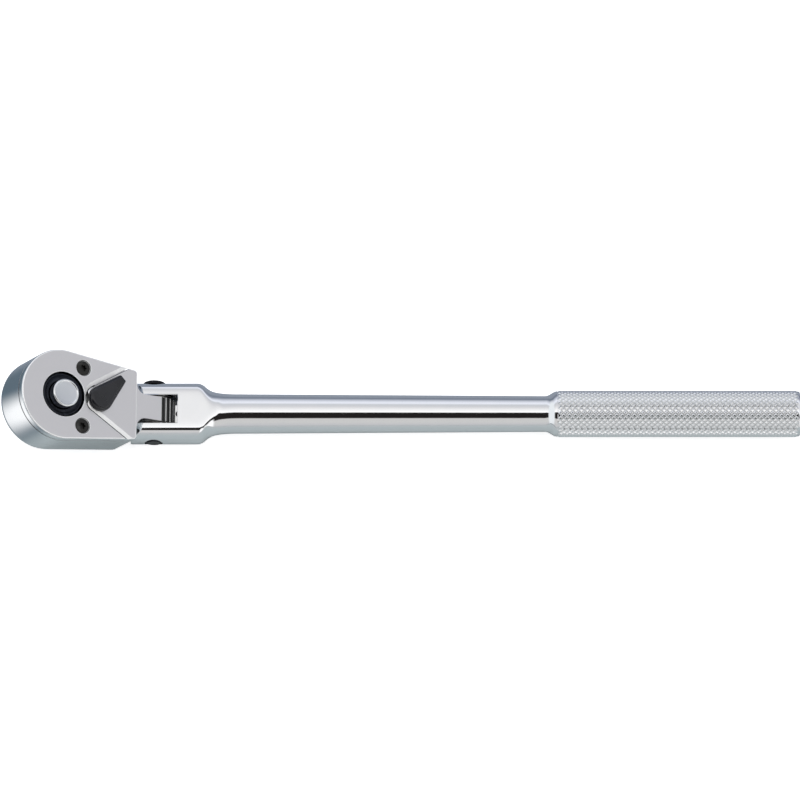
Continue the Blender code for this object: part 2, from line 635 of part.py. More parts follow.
def build_pawl():
    pawl = place(prism("pawl", pawl_outline(), PAWL_BOTTOM, PAWL_TOP), "tool_steel", PAWL)
    for share in (1, 0.5, 0, -0.5, -1):
        rock = share * PAWL_ROCK
        swing = Matrix.Rotation(rock, 4, "Z")
        centre = swing @ Vector((-GEAR_TO_PAWL, 0, 0))
        teeth = prism("pawl_tooth_cutter", gear_outline(TOOTH_GAP), 2 * BACK_LEVEL, FACE_LEVEL)
        boolean(pawl, as_cutter(teeth, PAWL, centre, (0, 0, rock)))
    race = DETENT_BALL_RADIUS + GAP
    deep = DETENT_BALL_OFFSET + DETENT_BALL_RADIUS + GAP
    bore = PAWL_BORE_RADIUS
    profile = [(0, FACE_LEVEL), (bore, FACE_LEVEL), (bore, DETENT_LEVEL + race),
               (deep, DETENT_LEVEL + race * 0.5), (deep, DETENT_LEVEL - race * 0.5),
               (bore, DETENT_LEVEL - race), (bore, 2 * BACK_LEVEL), (0, 2 * BACK_LEVEL)]
    boolean(pawl, as_cutter(turned("pawl_bore", profile, 24), PAWL))


def build_lever():
    top = DECK_LEVEL + LEVER_THICKNESS
    rounds = [(BREAK, DECK_LEVEL), (0, DECK_LEVEL + 1.5 * BREAK), (0, top - RIM),
              (0.3 * RIM, top - 0.3 * RIM), (RIM, top)]
    rings = []
    for inset, level in rounds:
        outline = tapered_outline(LEVER_HUB_RADIUS, LEVER_ARM - 2 * RIM,
                                  LEVER_TIP_HALF - RIM, RIM, 18, inset)
        rings.append([(u, v, level) for u, v in outline])
    lever = place(loft("reverse_lever", rings), "black_lever", LEVER)
    shaft = LEVER_SHAFT_RADIUS
    foot = LEVER_FOOT_RADIUS
    seal = LEVER_SEAL_LEVEL
    seal_half = LEVER_SEAL_SECTION + GAP
    seal_floor = LEVER_SEAL_RADIUS - LEVER_SEAL_SECTION - GAP
    clip_high = CLIP_LEVEL + CLIP_THICKNESS + GAP
    clip_low = CLIP_LEVEL - GAP
    joined = DECK_LEVEL + LEVER_THICKNESS / 2
    profile = [(0, joined), (shaft, joined), (shaft, seal + seal_half),
               (seal_floor, seal + seal_half), (seal_floor, seal - seal_half),
               (shaft, seal - seal_half), (shaft, clip_high), (CLIP_GROOVE_RADIUS, clip_high),
               (CLIP_GROOVE_RADIUS, clip_low), (shaft, clip_low), (shaft, PAWL_BOTTOM + GAP),
               (foot, PAWL_BOTTOM - GAP), (foot, LEVER_FOOT_BOTTOM), (0, LEVER_FOOT_BOTTOM)]
    boolean(lever, as_cutter(turned("lever_shaft", profile, 24), LEVER), "UNION")
    bore = rod("detent_bore", DETENT_BALL_RADIUS + GAP, -LEVER_SHAFT_RADIUS * 0.55,
               2 * LEVER_SHAFT_RADIUS, 16)
    boolean(lever, as_cutter(bore, LEVER, (0, 0, DETENT_LEVEL), (0, math.pi / 2, 0)))


def build_lever_fittings():
    seal = o_ring("lever_o_ring", LEVER_SEAL_RADIUS, LEVER_SEAL_SECTION, 20)
    place(seal, "seal_rubber", LEVER, (0, 0, LEVER_SEAL_LEVEL))
    clip = washer("lever_retaining_ring", CLIP_GROOVE_RADIUS + GAP, LEVER_SHAFT_RADIUS + CLIP_PROUD,
                  0, CLIP_THICKNESS, 24)
    place(clip, "spring_steel", LEVER, (0, 0, CLIP_LEVEL))
    mouth = block("clip_mouth", (2 * LEVER_SHAFT_RADIUS, CLIP_MOUTH, 4 * CLIP_THICKNESS),
                  (-1.5 * LEVER_SHAFT_RADIUS, 0, 0))
    boolean(clip, as_cutter(mouth, LEVER, (0, 0, CLIP_LEVEL)))
    place(ball("pawl_detent_ball", DETENT_BALL_RADIUS, 12), "ball_steel", LEVER,
          (DETENT_BALL_OFFSET, 0, DETENT_LEVEL))
    wire = DETENT_WIRE
    spring = coil("pawl_detent_spring", DETENT_BALL_RADIUS - wire, wire,
                  -LEVER_SHAFT_RADIUS * 0.55 + GAP / 2,
                  DETENT_BALL_OFFSET - DETENT_BALL_RADIUS - GAP / 2, 3)
    place(spring, "spring_steel", LEVER, (0, 0, DETENT_LEVEL), (0, math.pi / 2, 0))


# ---- flex joint ----
def build_flex_joint():
    seat = FLEX_SEAT + GAP
    high = seat + FLEX_HEAD_HEIGHT
    radius = FLEX_HEAD_RADIUS
    shank = FLEX_PIN_RADIUS
    end = -CLEVIS_RADIUS
    dome = FLEX_HEAD_HEIGHT / 2
    profile = [(0, high), (radius * 0.62, high), (radius * 0.88, high - 0.4 * dome),
               (radius, high - dome), (radius, seat), (shank, seat),
               (shank, end + THREAD_CHAMFER), (shank - THREAD_CHAMFER, end), (0, end)]
    quarter = (-math.pi / 2, 0, 0)
    screw = place(turned("flex_screw", profile, 28), "black_oxide", ROOT, rotation=quarter)
    socket = prism("flex_socket", hexagon(FLEX_HEX_RADIUS), high - FLEX_HEX_DEPTH, 2 * high)
    boolean(screw, as_cutter(socket, ROOT, rotation=quarter))
    near = TANG_WIDTH / 2 + PLAY
    for side, name in ((1, "flex_washer_upper"), (-1, "flex_washer_lower")):
        low = min(side * near, side * (near + FLEX_WASHER_THICKNESS))
        ring = washer(name, FLEX_PIN_BORE, FLEX_WASHER_RADIUS, low, low + FLEX_WASHER_THICKNESS)
        place(ring, "tool_steel", ROOT, rotation=quarter)
    place(ball("flex_detent_ball", FLEX_BALL_RADIUS, 12), "ball_steel", FLEX_BALL)
    start = NOTCH_CENTRE + FLEX_BALL_RADIUS + GAP
    wire = FLEX_WIRE
    spring = coil("flex_detent_spring", FLEX_BALL_RADIUS - wire, wire, start,
                  start + FLEX_SPRING_ROOM, 6)
    place(spring, "spring_steel", ROOT, rotation=(0, math.pi / 2, 0))


# ---- handle ----
def handle_profile():
    """(radius, distance from the flex screw), from the front end to the butt."""
    rise = CLEVIS_RADIUS - SHAFT_RADIUS_FRONT
    blend = [(SHAFT_RADIUS_FRONT + rise * drop, CLEVIS_LENGTH + CLEVIS_BLEND * share)
             for share, drop in ((0, 1), (0.07, 0.94), (0.14, 0.80), (0.21, 0.57), (0.29, 0.36),
                                 (0.38, 0.21), (0.5, 0.11), (0.7, 0.03), (1, 0))]
    flare = [(GRIP_RADIUS - (GRIP_RADIUS - SHAFT_RADIUS_BACK) * (1 + math.cos(math.pi * t)) / 2,
              FLARE_START + FLARE_LENGTH * t) for t in (0, 0.25, 0.5, 0.75, 1)]
    front = -2 * EAR_RADIUS
    return ([(0, front), (CLEVIS_RADIUS, front)] + blend + flare
            + [(GRIP_RADIUS, OVERALL_GRIP_END - GRIP_EDGE),
               (GRIP_RADIUS - 0.3 * GRIP_EDGE, OVERALL_GRIP_END - 0.3 * GRIP_EDGE),
               (GRIP_RADIUS - GRIP_EDGE, OVERALL_GRIP_END), (0, OVERALL_GRIP_END)])


def build_handle():
    profile = [(radius, -station) for radius, station in handle_profile()]
    handle = turned("handle", profile, 40)
    place(handle, "bright_chrome", ROOT, rotation=(0, -math.pi / 2, 0))
    long = 4 * CLEVIS_LENGTH
    tall = CLEVIS_RADIUS
    for side in (1, -1):
        flat = block("clevis_flat", (long, 4 * tall, tall), (0, 0, side * (CLEVIS_FLAT + tall / 2)))
        boolean(handle, as_cutter(flat, ROOT))
    ends = arc((0, 0), EAR_RADIUS, -math.pi / 2, -3 * math.pi / 2, 24)
    wide = 2 * CLEVIS_RADIUS
    outline = ends + [(0, wide), (-wide, wide), (-wide, -wide), (0, -wide)]
    boolean(handle, as_cutter(prism("ear_ends", outline, -wide, wide, "Y"), ROOT))
    slot = block("slot", (wide + SLOT_BOTTOM, 2 * SLOT_HALF, wide),
                 ((SLOT_BOTTOM - wide) / 2, 0, 0))
    boolean(handle, as_cutter(slot, ROOT))
    quarter = (-math.pi / 2, 0, 0)
    seat = FLEX_SEAT
    spot = FLEX_HEAD_RADIUS + GAP
    bore = FLEX_PIN_BORE
    profile = [(0, wide), (spot, wide), (spot, seat), (bore, seat), (bore, -wide), (0, -wide)]
    boolean(handle, as_cutter(turned("flex_bore", profile, 28), ROOT, rotation=quarter))
    depth = NOTCH_CENTRE + FLEX_BALL_RADIUS + FLEX_SPRING_ROOM + 2 * GAP
    channel = rod("detent_channel", FLEX_BALL_RADIUS + GAP, 0, depth, 20)
    boolean(handle, as_cutter(channel, ROOT, rotation=(0, math.pi / 2, 0)))


def rest_on_origin():
    """Put the bottom centre of the whole wrench's box at the world's origin."""
    bpy.context.view_layer.update()
    graph = bpy.context.evaluated_depsgraph_get()
    corners = []
    for item in PARTS.objects:
        if item.type == "EMPTY":
            continue
        shown = item.evaluated_get(graph)
        mesh = shown.to_mesh()
        corners += [shown.matrix_world @ vertex.co for vertex in mesh.vertices]
        shown.to_mesh_clear()
    low = [min(corner[axis] for corner in corners) for axis in range(3)]
    high = [max(corner[axis] for corner in corners) for axis in range(3)]
    ROOT.location = (-(low[0] + high[0]) / 2, -(low[1] + high[1]) / 2, -low[2])


clear_scene()
PARTS = new_collection("flex_head_ratchet_wrench")
CUTTERS = new_collection("cutters")
FINISHES = {name: make_material(name) for name in MATERIALS}

ROOT = new_empty("wrench_frame")
HEAD = new_empty("head_frame", ROOT, rotation=(0, HEAD_FLEX, 0))
DRIVE = new_empty("drive_frame", HEAD, (-GEAR_REACH, 0, 0))
RELEASE = new_empty("release_frame", DRIVE)
BALL = new_empty("drive_ball_frame", DRIVE, (-BALL_OFFSET, 0, BALL_LEVEL))
LEVER = new_empty("lever_frame", HEAD, (-LEVER_REACH, 0, 0), (0, 0, LEVER_ANGLE))
PAWL = new_empty("pawl_frame", HEAD, (-LEVER_REACH, 0, 0), (0, 0, -PAWL_ROCK))
FLEX_BALL = new_empty("flex_ball_frame", ROOT, (NOTCH_CENTRE, 0, 0))

build_head_body()
build_cover_plate()
build_cover_screws()
build_drive_gear()
build_drive_fittings()
build_release()
build_lever()
build_lever_fittings()
build_pawl()
build_flex_joint()
build_handle()
rest_on_origin()
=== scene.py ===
"""Flex-head pear ratchet wrench: the finished looks of each piece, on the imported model's frame.

Head pieces are drawn in the head's own frame, with its origin on the flex screw, its tip along
-X and its face along +Z. Handle pieces are drawn about the flex screw with the grip along +X.
Each is then set in its place. All sizes are in metres.
"""

import json
import math

import bmesh
import bpy
from mathutils import Matrix, Vector


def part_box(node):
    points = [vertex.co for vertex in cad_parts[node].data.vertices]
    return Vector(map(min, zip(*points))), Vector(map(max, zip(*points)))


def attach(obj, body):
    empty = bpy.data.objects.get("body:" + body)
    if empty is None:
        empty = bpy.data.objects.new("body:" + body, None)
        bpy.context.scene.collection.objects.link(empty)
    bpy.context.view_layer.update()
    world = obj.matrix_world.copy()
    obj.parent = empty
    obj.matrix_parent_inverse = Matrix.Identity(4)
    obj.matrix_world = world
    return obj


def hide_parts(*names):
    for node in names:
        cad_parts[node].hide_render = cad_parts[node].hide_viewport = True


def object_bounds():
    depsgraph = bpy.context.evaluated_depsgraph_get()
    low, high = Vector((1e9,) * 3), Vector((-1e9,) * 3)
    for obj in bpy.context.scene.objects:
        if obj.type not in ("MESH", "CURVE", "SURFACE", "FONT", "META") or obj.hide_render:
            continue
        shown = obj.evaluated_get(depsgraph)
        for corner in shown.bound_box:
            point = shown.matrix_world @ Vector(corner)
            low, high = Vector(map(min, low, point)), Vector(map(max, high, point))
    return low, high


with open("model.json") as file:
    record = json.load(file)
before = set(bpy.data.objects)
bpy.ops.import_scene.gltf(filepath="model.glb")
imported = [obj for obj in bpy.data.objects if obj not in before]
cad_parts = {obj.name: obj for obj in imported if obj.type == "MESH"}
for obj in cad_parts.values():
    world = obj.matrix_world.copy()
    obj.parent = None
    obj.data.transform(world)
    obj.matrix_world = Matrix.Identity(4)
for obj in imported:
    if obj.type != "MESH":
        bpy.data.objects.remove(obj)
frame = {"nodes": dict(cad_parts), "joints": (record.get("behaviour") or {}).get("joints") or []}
cad_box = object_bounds()

TURN = 2 * math.pi
QUARTER = math.pi / 2
GAP = 0.0003                 # between pieces that touch or run on each other
RIM = 0.0006                 # wide edge rounding
BREAK = 0.0002               # narrow edge rounding
FLUSH = 0.0001               # keeps two nearly level faces apart

# ---- frames of the head and the handle ----
JOINTS = {joint["name"]: joint for joint in frame["joints"]}
PIN = Vector(JOINTS["flex_hinge"]["pos_m"])
FACE_NORMAL = Vector(JOINTS["drive_spin"]["axis"]).normalized()
ACROSS = Vector((0, 1, 0))
ALONG = ACROSS.cross(FACE_NORMAL).normalized()
HEAD = Matrix.Translation(PIN) @ Matrix((ALONG, ACROSS, FACE_NORMAL)).transposed().to_4x4()
HANDLE = Matrix.Translation(PIN)
GEAR_REACH = (PIN - Vector(JOINTS["drive_spin"]["pos_m"])).dot(ALONG)
LEVER_REACH = (PIN - Vector(JOINTS["lever_turn"]["pos_m"])).dot(ALONG)
LEVER_SWING = math.radians(45)  # the lever's arm at rest, from the head's +X
AT_GEAR = Matrix.Translation((-GEAR_REACH, 0, 0))
AT_LEVER = Matrix.Translation((-LEVER_REACH, 0, 0))
DRIVE = HEAD @ AT_GEAR
LEVER = HEAD @ AT_LEVER @ Matrix.Rotation(LEVER_SWING, 4, "Z")


def extent(node, place):
    """Lowest and highest corner of a CAD node, measured in one of the wrench's own frames."""
    inward = place.inverted()
    points = [inward @ vertex.co for vertex in frame["nodes"][node].data.vertices]
    return Vector(map(min, *points)), Vector(map(max, *points))


# ---- sizes read from the CAD nodes ----
plate_low, plate_high = extent("cover_plate", HEAD)
body_low = extent("head_body", HEAD)[0]
gear_low, gear_high = extent("drive_gear", DRIVE)
button_low, button_high = extent("release_button", DRIVE)
spring_high = extent("release_spring", DRIVE)[1]
screw_low, screw_high = extent("cover_screw_upper", HEAD)
lever_low, lever_high = extent("reverse_lever", LEVER)
bolt_low, bolt_high = extent("flex_screw", HANDLE)
handle_high = extent("handle", HANDLE)[1]
FACE_LEVEL = plate_high.z
PLATE_BOTTOM = plate_low.z
BACK_LEVEL = body_low.z
TIP_RADIUS = plate_high.y
TIP_REACH = -body_low.x - TIP_RADIUS
KNUCKLE_RADIUS = FACE_LEVEL - FLUSH
BUTT = handle_high.x

# ---- head ----
SHOULDER_REACH = 0.0100
SHOULDER_SPREAD = 0.0108
SHOULDER_CORNER = 0.0012
BACK_ROUNDING = 0.0040
APEX_RADIUS = 0.0047
ARM_ANGLE = math.radians(31.5)
WIDE_CHAMFER = 0.0013        # edges of the V that face the near side
THIN_CHAMFER = 0.0002
CHAMFER_DEPTH = 0.0004
SHELL_EDGE = 0.00012
COVER_EDGE = 0.00010
TANG_HALF = 0.0041
TANG_FILLET = 0.0032
NOTCH_PITCH = math.radians(15)
NOTCH_COUNT = 13
NOTCH_RADIUS = 0.0016
CHAMBER_RADIUS = 0.0092
CHAMBER_FLOOR = BACK_LEVEL + 0.0037
RING_RADIUS = 0.0073
BORE_LIP = 0.0003
JOURNAL_RADIUS = 0.0070
SCREW_SPREAD = (screw_low.y + screw_high.y) / 2
SCREW_REACH = -(screw_low.x + screw_high.x) / 2
SCREW_HEAD_RADIUS = (screw_high.x - screw_low.x) / 2
SCREW_SHANK_RADIUS = 0.00125
SCREW_LOBES = 6
SCREW_RECESS_RADIUS = 0.00105
SCREW_LOBE_HEIGHT = 0.00020
SCREW_RECESS_DEPTH = 0.0011

# ---- lever and the pawl's pocket ----
LEVER_SHAFT_RADIUS = 0.0024
LEVER_HUB = 0.0043
LEVER_ARM = 0.0120
LEVER_TIP_HALF = 0.0016
LEVER_EDGE = 0.0015
LEVER_ROOT = 0.0011          # how far the shaft reaches into the thumb piece
LEVER_FOOT_BORE = 0.0021
LEVER_FOOT_END = CHAMBER_FLOOR - 0.0023
CLIP_DEPTH = 0.0008          # underside of the retaining ring, below the plate
PAWL_BOTTOM = CHAMBER_FLOOR + 2 * GAP
PAWL_DETENT_RADIUS = 0.0013
POCKET_FRONT = 0.0012        # how far the pocket cuts in past the gear's tips
POCKET_HALF_SPAN = math.radians(36) + 0.00098 / 0.0108   # the pawl's own, and play at its ends
POCKET_SHOULDER = 0.01155    # from the gear's axis
POCKET_SHOULDER_TURN = 0.10
POCKET_HUB = 0.00505
POCKET_HUB_TURN = math.radians(72)

# ---- drive ----
TOOTH_COUNT = 72
GEAR_TIP_RADIUS = 0.0089
TOOTH_DEPTH = 0.00045
GEAR_BOTTOM = CHAMBER_FLOOR + GAP
GEAR_TOP = PLATE_BOTTOM - 0.0010
BUTTON_RADIUS = button_high.x
BUTTON_EDGE = 0.0005
BUTTON_SPRING_ROOM = 0.0003     # round its spring, in the hollow underneath
BUTTON_HOLLOW_DEPTH = 0.0026
SQUARE = 0.009525
SQUARE_LENGTH = 0.0107
SQUARE_CHAMFER = 0.0007
SQUARE_EDGE = 0.00025
DISH_DEPTH = 0.0009          # of the ring's inner slope, down to the button
DISH_WIDTH = 0.0015
SEAL_LEVEL = BACK_LEVEL + 0.00185
SEAL_GROOVE_DEPTH = 0.0009
BUTTON_ROOM_FLOOR = button_low.z - 0.0025
SPRING_BORE = 0.00295
SPRING_SEAT = button_low.z - 0.0086
PIN_ROOM = 0.0019
BALL_HOLE_LEVEL = gear_low.z + 0.0053
BALL_HOLE_RADIUS = 0.0020
PIN_ROOM_FLOOR = BALL_HOLE_LEVEL - 0.0040

# ---- handle ----
GRIP_LENGTH = 0.0803
GRIP_RADIUS = handle_high.z
BUTT_EDGE = 0.0007
KNURL_LEAD = 0.0010          # how far the knurl runs onto the flare
KNURL_HEIGHT = 0.00034
KNURL_PITCH = 0.00195        # between diamonds in one line along the grip
KNURL_COLUMNS = 28
CORE_DROP = 0.00002          # of the grip's core, below the knurl's floor
DIAMOND_DROP = 0.00003       # of the diamonds, so that they grow out of the core
FLARE_LENGTH = 0.0050
SHAFT_FRONT = 0.0066
SHAFT_BACK = 0.0060
CLEVIS_RADIUS = handle_high.y
CLEVIS_FLAT = KNUCKLE_RADIUS - FLUSH / 2
CLEVIS_LENGTH = 0.0147
CLEVIS_BLEND = 0.0140
EAR_RADIUS = KNUCKLE_RADIUS + 0.00065
SECTION_EDGE = 18            # higher makes the flats' edges sharper
NECK_FALLS = ((0, 1), (0.07, 0.94), (0.14, 0.80), (0.21, 0.57), (0.29, 0.36), (0.38, 0.21),
              (0.5, 0.11), (0.7, 0.03), (1, 0))      # share of its length, fall still left
SLOT_HALF = 0.00485
SLOT_EDGE = 0.00025
SLOT_BOTTOM = KNUCKLE_RADIUS + 0.0009
PIN_BORE = 0.0030
BOLT_HEAD_RADIUS = bolt_high.x
BOLT_HEAD_HEIGHT = 0.0015
BOLT_DOME = 0.0009
BOLT_HEX_RADIUS = 0.0019
BOLT_END_CHAMFER = 0.0004
DETENT_BORE = 0.0015
DETENT_DEPTH = 0.0173


# ---- node trees ----
class Signal:
    """A node's output socket. Arithmetic on it adds Math nodes to its tree."""

    def __init__(self, nodes, socket):
        self.nodes = nodes
        self.socket = socket

    def maths(self, operation, *values):
        """A Math node on these values, in this signal's tree."""
        return self.nodes.add("ShaderNodeMath", {"operation": operation}, *values)

    def __neg__(self):
        return self.maths("MULTIPLY", self, -1.0)

    def __add__(self, other):
        return self.maths("ADD", self, other)

    def __radd__(self, other):
        return self.maths("ADD", other, self)

    def __sub__(self, other):
        return self.maths("SUBTRACT", self, other)

    def __rsub__(self, other):
        return self.maths("SUBTRACT", other, self)

    def __mul__(self, other):
        return self.maths("MULTIPLY", self, other)

    def __rmul__(self, other):
        return self.maths("MULTIPLY", other, self)

    def __truediv__(self, other):
        return self.maths("DIVIDE", self, other)


class Nodes:
    """Adds nodes to one tree."""

    def __init__(self, tree):
        self.tree = tree
        tree.nodes.clear()

    def add(self, kind, settings=None, *values, output=0, sockets=None):
        """A new node: its settings, then the values or links of its sockets, in order or named."""
        node = self.tree.nodes.new(kind)
        for name, value in (settings or {}).items():
            if name == "stops":
                set_stops(node.color_ramp, value)
            else:
                setattr(node, name, value)
        fed = list(enumerate(values)) + list((sockets or {}).items())
        for key, value in fed:
            if isinstance(value, Signal):
                self.tree.links.new(value.socket, node.inputs[key])
            elif value is not None:
                node.inputs[key].default_value = value
        return Signal(self, node.outputs[output]) if node.outputs else node


def set_stops(ramp, stops):
    """Give a colour ramp these (position, colour) stops."""
    while len(ramp.elements) < len(stops):
        ramp.elements.new(0.5)
    for element, (position, colour) in zip(ramp.elements, stops):
        element.position = position
        element.color = (*colour, 1.0)


def coordinate(nodes, kind):
    """One of the shaded point's coordinates: Object, Normal or Generated."""
    return nodes.add("ShaderNodeTexCoord", output=kind)


def axes(signal):
    """The X, Y and Z of a vector."""
    parts = signal.nodes.tree.nodes.new("ShaderNodeSeparateXYZ")
    signal.nodes.tree.links.new(signal.socket, parts.inputs[0])
    return [Signal(signal.nodes, parts.outputs[axis]) for axis in "XYZ"]


def vectors(operation, first, second=None):
    """A Vector Math node. Dot products, lengths and distances come out as a single value."""
    measures = ("DOT_PRODUCT", "LENGTH", "DISTANCE")
    output = "Value" if operation in measures else "Vector"
    return first.nodes.add("ShaderNodeVectorMath", {"operation": operation}, first, second,
                           output=output)


def between(signal, low, high):
    """0 below low and 1 above high, smooth in the middle."""
    return signal.nodes.add("ShaderNodeMapRange", {"interpolation_type": "SMOOTHSTEP"},
                            signal, low, high, 0.0, 1.0)


def blend_colours(share, first, second):
    """From the first colour to the second as share goes from 0 to 1."""
    colours = [(*c, 1.0) if isinstance(c, tuple) else c for c in (first, second)]
    return share.nodes.add("ShaderNodeMix", {"data_type": "RGBA"}, output=2,
                           sockets={0: share, 6: colours[0], 7: colours[1]})


def grain(nodes, size, detail=2.0, stretch=(1, 1, 1)):
    """Noise from 0 to 1 with features of about this size, drawn out by stretch."""
    scale = tuple(1 / (size * along) for along in stretch)
    drawn = nodes.add("ShaderNodeMapping", sockets={"Vector": coordinate(nodes, "Object"),
                                                    "Scale": scale})
    return nodes.add("ShaderNodeTexNoise",
                     sockets={"Vector": drawn, "Scale": 1.0, "Detail": detail})


def new_finish(name):
    """A new material, and the empty tree it is built in."""
    material = bpy.data.materials.new(name)
    material.use_nodes = True
    return material, Nodes(material.node_tree)


def coat(nodes, colour, roughness, metallic, height, depth, **constants):
    """The closing shader of a finish, with a relief of the given depth from height."""
    relief = nodes.add("ShaderNodeBump", sockets={"Strength": 1.0, "Distance": depth,
                                                  "Height": height})
    sockets = {"Base Color": colour, "Roughness": roughness, "Metallic": metallic,
               "Normal": relief}
    sockets.update(constants)
    shader = nodes.add("ShaderNodeBsdfPrincipled", sockets=sockets)
    nodes.add("ShaderNodeOutputMaterial", sockets={"Surface": shader})


# ---- finishes ----
def notch_shade_mask(place, surface):
    """Where the knuckle's notches get painted shade: 1 just under its radius, off the pin, and
    facing outwards.
    """
    from_pin = vectors("SUBTRACT", place, tuple(PIN))
    from_pin = vectors("MULTIPLY", from_pin, (1, 0, 1))
    reach = vectors("LENGTH", from_pin)
    facing = vectors("DOT_PRODUCT", surface, vectors("NORMALIZE", from_pin))
    under = between(KNUCKLE_RADIUS - reach, 0.00004, 0.00016)
    off_pin = between(reach, 0.005, 0.006)
    return under * off_pin * between(facing, 0.3, 0.6)


def satin_chrome():
    """Chrome on forged steel: the ground top is satin, the walls are polished; a painted highlight
    on the chamfers, painted shade in the knuckle's notches.
    """
    material, nodes = new_finish("head_satin_chrome")
    surface = coordinate(nodes, "Normal")
    upward = vectors("DOT_PRODUCT", surface, tuple(FACE_NORMAL))
    top = between(upward, 0.965, 0.995)
    # painted highlight: surfaces tilted about 37 to 52 degrees from the face, chiefly the V's
    # chamfers, are painted flat white and made mostly non-metallic
    chamfer = between(upward, 0.62, 0.80) * (1 - top)
    notch = notch_shade_mask(coordinate(nodes, "Object"), surface)
    fine = grain(nodes, 0.00012)
    cloud = grain(nodes, 0.004, 3.0)
    polished, ground, cloudy = (0.86, 0.88, 0.90), (0.79, 0.77, 0.79), (0.70, 0.71, 0.73)
    colour = blend_colours(top, polished, ground)
    colour = blend_colours(cloud * 0.25, colour, cloudy)
    # painted highlight: white on the chamfers
    colour = blend_colours(chamfer, colour, (1.0, 1.0, 1.0))
    # painted shade: the knuckle's notches are painted near black and rougher
    colour = blend_colours(notch, colour, (0.05, 0.05, 0.05))
    roughness = 0.085 + 0.03 * cloud + top * (0.20 + 0.08 * fine) + 0.2 * chamfer + 0.3 * notch
    metallic = 1 - 0.85 * chamfer
    coat(nodes, colour, roughness, metallic, fine * top + 0.15 * cloud, 0.000004)
    return material


def bright_chrome():
    """Mirror chrome with a faint waviness and polishing lines along the handle."""
    material, nodes = new_finish("handle_bright_chrome")
    polish = grain(nodes, 0.0003, 2.0, (14, 1, 1))
    cloud = grain(nodes, 0.006, 3.0)
    colour = blend_colours(cloud, (0.86, 0.87, 0.89), (0.92, 0.92, 0.93))
    roughness = 0.05 + 0.04 * cloud + 0.02 * polish
    coat(nodes, colour, roughness, 1.0, cloud + 0.02 * polish, 0.000012)
    return material


def knurl_chrome():
    """Satin chrome with darker valleys between the diamonds."""
    material, nodes = new_finish("knurl_chrome")
    radial = vectors("SUBTRACT", coordinate(nodes, "Object"), (0, 0, PIN.z))
    radial = vectors("MULTIPLY", radial, (0, 1, 1))
    reach = vectors("LENGTH", radial)
    crest = between(reach, GRIP_RADIUS - KNURL_HEIGHT, GRIP_RADIUS - 0.0001)
    fine = grain(nodes, 0.0002)
    colour = blend_colours(crest, (0.78, 0.79, 0.80), (0.95, 0.95, 0.96))
    roughness = 0.26 - 0.12 * crest + 0.08 * fine
    coat(nodes, colour, roughness, 1.0, fine, 0.000006)
    return material


def black_oxide(name, light):
    """Blackened steel with slightly lighter patches, as if rubbed."""
    material, nodes = new_finish(name)
    fine = grain(nodes, 0.00018)
    cloud = grain(nodes, 0.003, 4.0)
    rubbed = between(cloud, 0.45, 0.75)
    dark = tuple(channel * 0.5 for channel in light)
    colour = blend_colours(rubbed, dark, light)
    roughness = 0.26 + 0.12 * fine + 0.08 * cloud
    coat(nodes, colour, roughness, 0.85, fine, 0.000006)
    return material


def black_lever():
    """Glossy black with slightly duller patches, as from handling."""
    material, nodes = new_finish("lever_black_gloss")
    fine = grain(nodes, 0.0005, 3.0)
    handled = between(grain(nodes, 0.005, 4.0), 0.4, 0.8)
    colour = blend_colours(handled, (0.004, 0.004, 0.007), (0.010, 0.010, 0.014))
    roughness = 0.22 + 0.08 * handled + 0.04 * fine
    coat(nodes, colour, roughness, 0.0, fine, 0.000008, **{"Specular IOR Level": 0.6})
    return material


def button_steel():
    """Satin disc inside a polished rim, with the turning's fine rings."""
    material, nodes = new_finish("button_satin_steel")
    radial = vectors("SUBTRACT", coordinate(nodes, "Object"), tuple(DRIVE.translation))
    reach = vectors("LENGTH", vectors("CROSS_PRODUCT", radial, tuple(FACE_NORMAL)))
    rim = between(reach, BUTTON_RADIUS - 0.0010, BUTTON_RADIUS - 0.0008)
    ring_pitch = 0.00012
    rings = reach.maths("SINE", reach * (TURN / ring_pitch))
    fine = grain(nodes, 0.00012)
    colour = blend_colours(rim, (0.72, 0.74, 0.78), (0.88, 0.89, 0.90))
    roughness = 0.34 - 0.26 * rim + 0.06 * fine
    coat(nodes, colour, roughness, 1.0, (rings * 0.25 + fine) * (1 - rim), 0.000003)
    return material


def plain_metal(name, colour, shade, roughness, grain_size):
    """A worked metal that varies softly between two tones."""
    material, nodes = new_finish(name)
    fine = grain(nodes, grain_size)
    cloud = grain(nodes, 0.002, 3.0)
    tone = blend_colours(cloud, colour, shade)
    coat(nodes, tone, roughness + 0.10 * fine, 1.0, fine, 0.000004)
    return material


def seal_rubber():
    """Matt black rubber."""
    material, nodes = new_finish("seal_black_rubber")
    fine = grain(nodes, 0.00025)
    colour = blend_colours(fine, (0.012, 0.012, 0.012), (0.030, 0.030, 0.032))
    coat(nodes, colour, 0.55 + 0.2 * fine, 0.0, fine, 0.00001)
    return material


FINISHES = {
    "satin_chrome": satin_chrome(),
    "bright_chrome": bright_chrome(),
    "knurl_chrome": knurl_chrome(),
    "black_oxide": black_oxide("drive_black_oxide", (0.045, 0.050, 0.066)),
    "screw_oxide": black_oxide("screw_black_oxide", (0.075, 0.073, 0.070)),
    "bolt_oxide": black_oxide("bolt_black_oxide", (0.030, 0.032, 0.038)),
    "black_lever": black_lever(),
    "button_steel": button_steel(),
    "tool_steel": plain_metal("hardened_tool_steel", (0.45, 0.44, 0.42), (0.33, 0.32, 0.31),
                              0.28, 0.0002),
    "spring_steel": plain_metal("drawn_spring_steel", (0.52, 0.52, 0.54), (0.40, 0.40, 0.43),
                                0.22, 0.0001),
    "ball_steel": plain_metal("polished_ball_steel", (0.80, 0.80, 0.82), (0.74, 0.75, 0.78),
                              0.04, 0.0004),
    "seal_rubber": seal_rubber(),
}


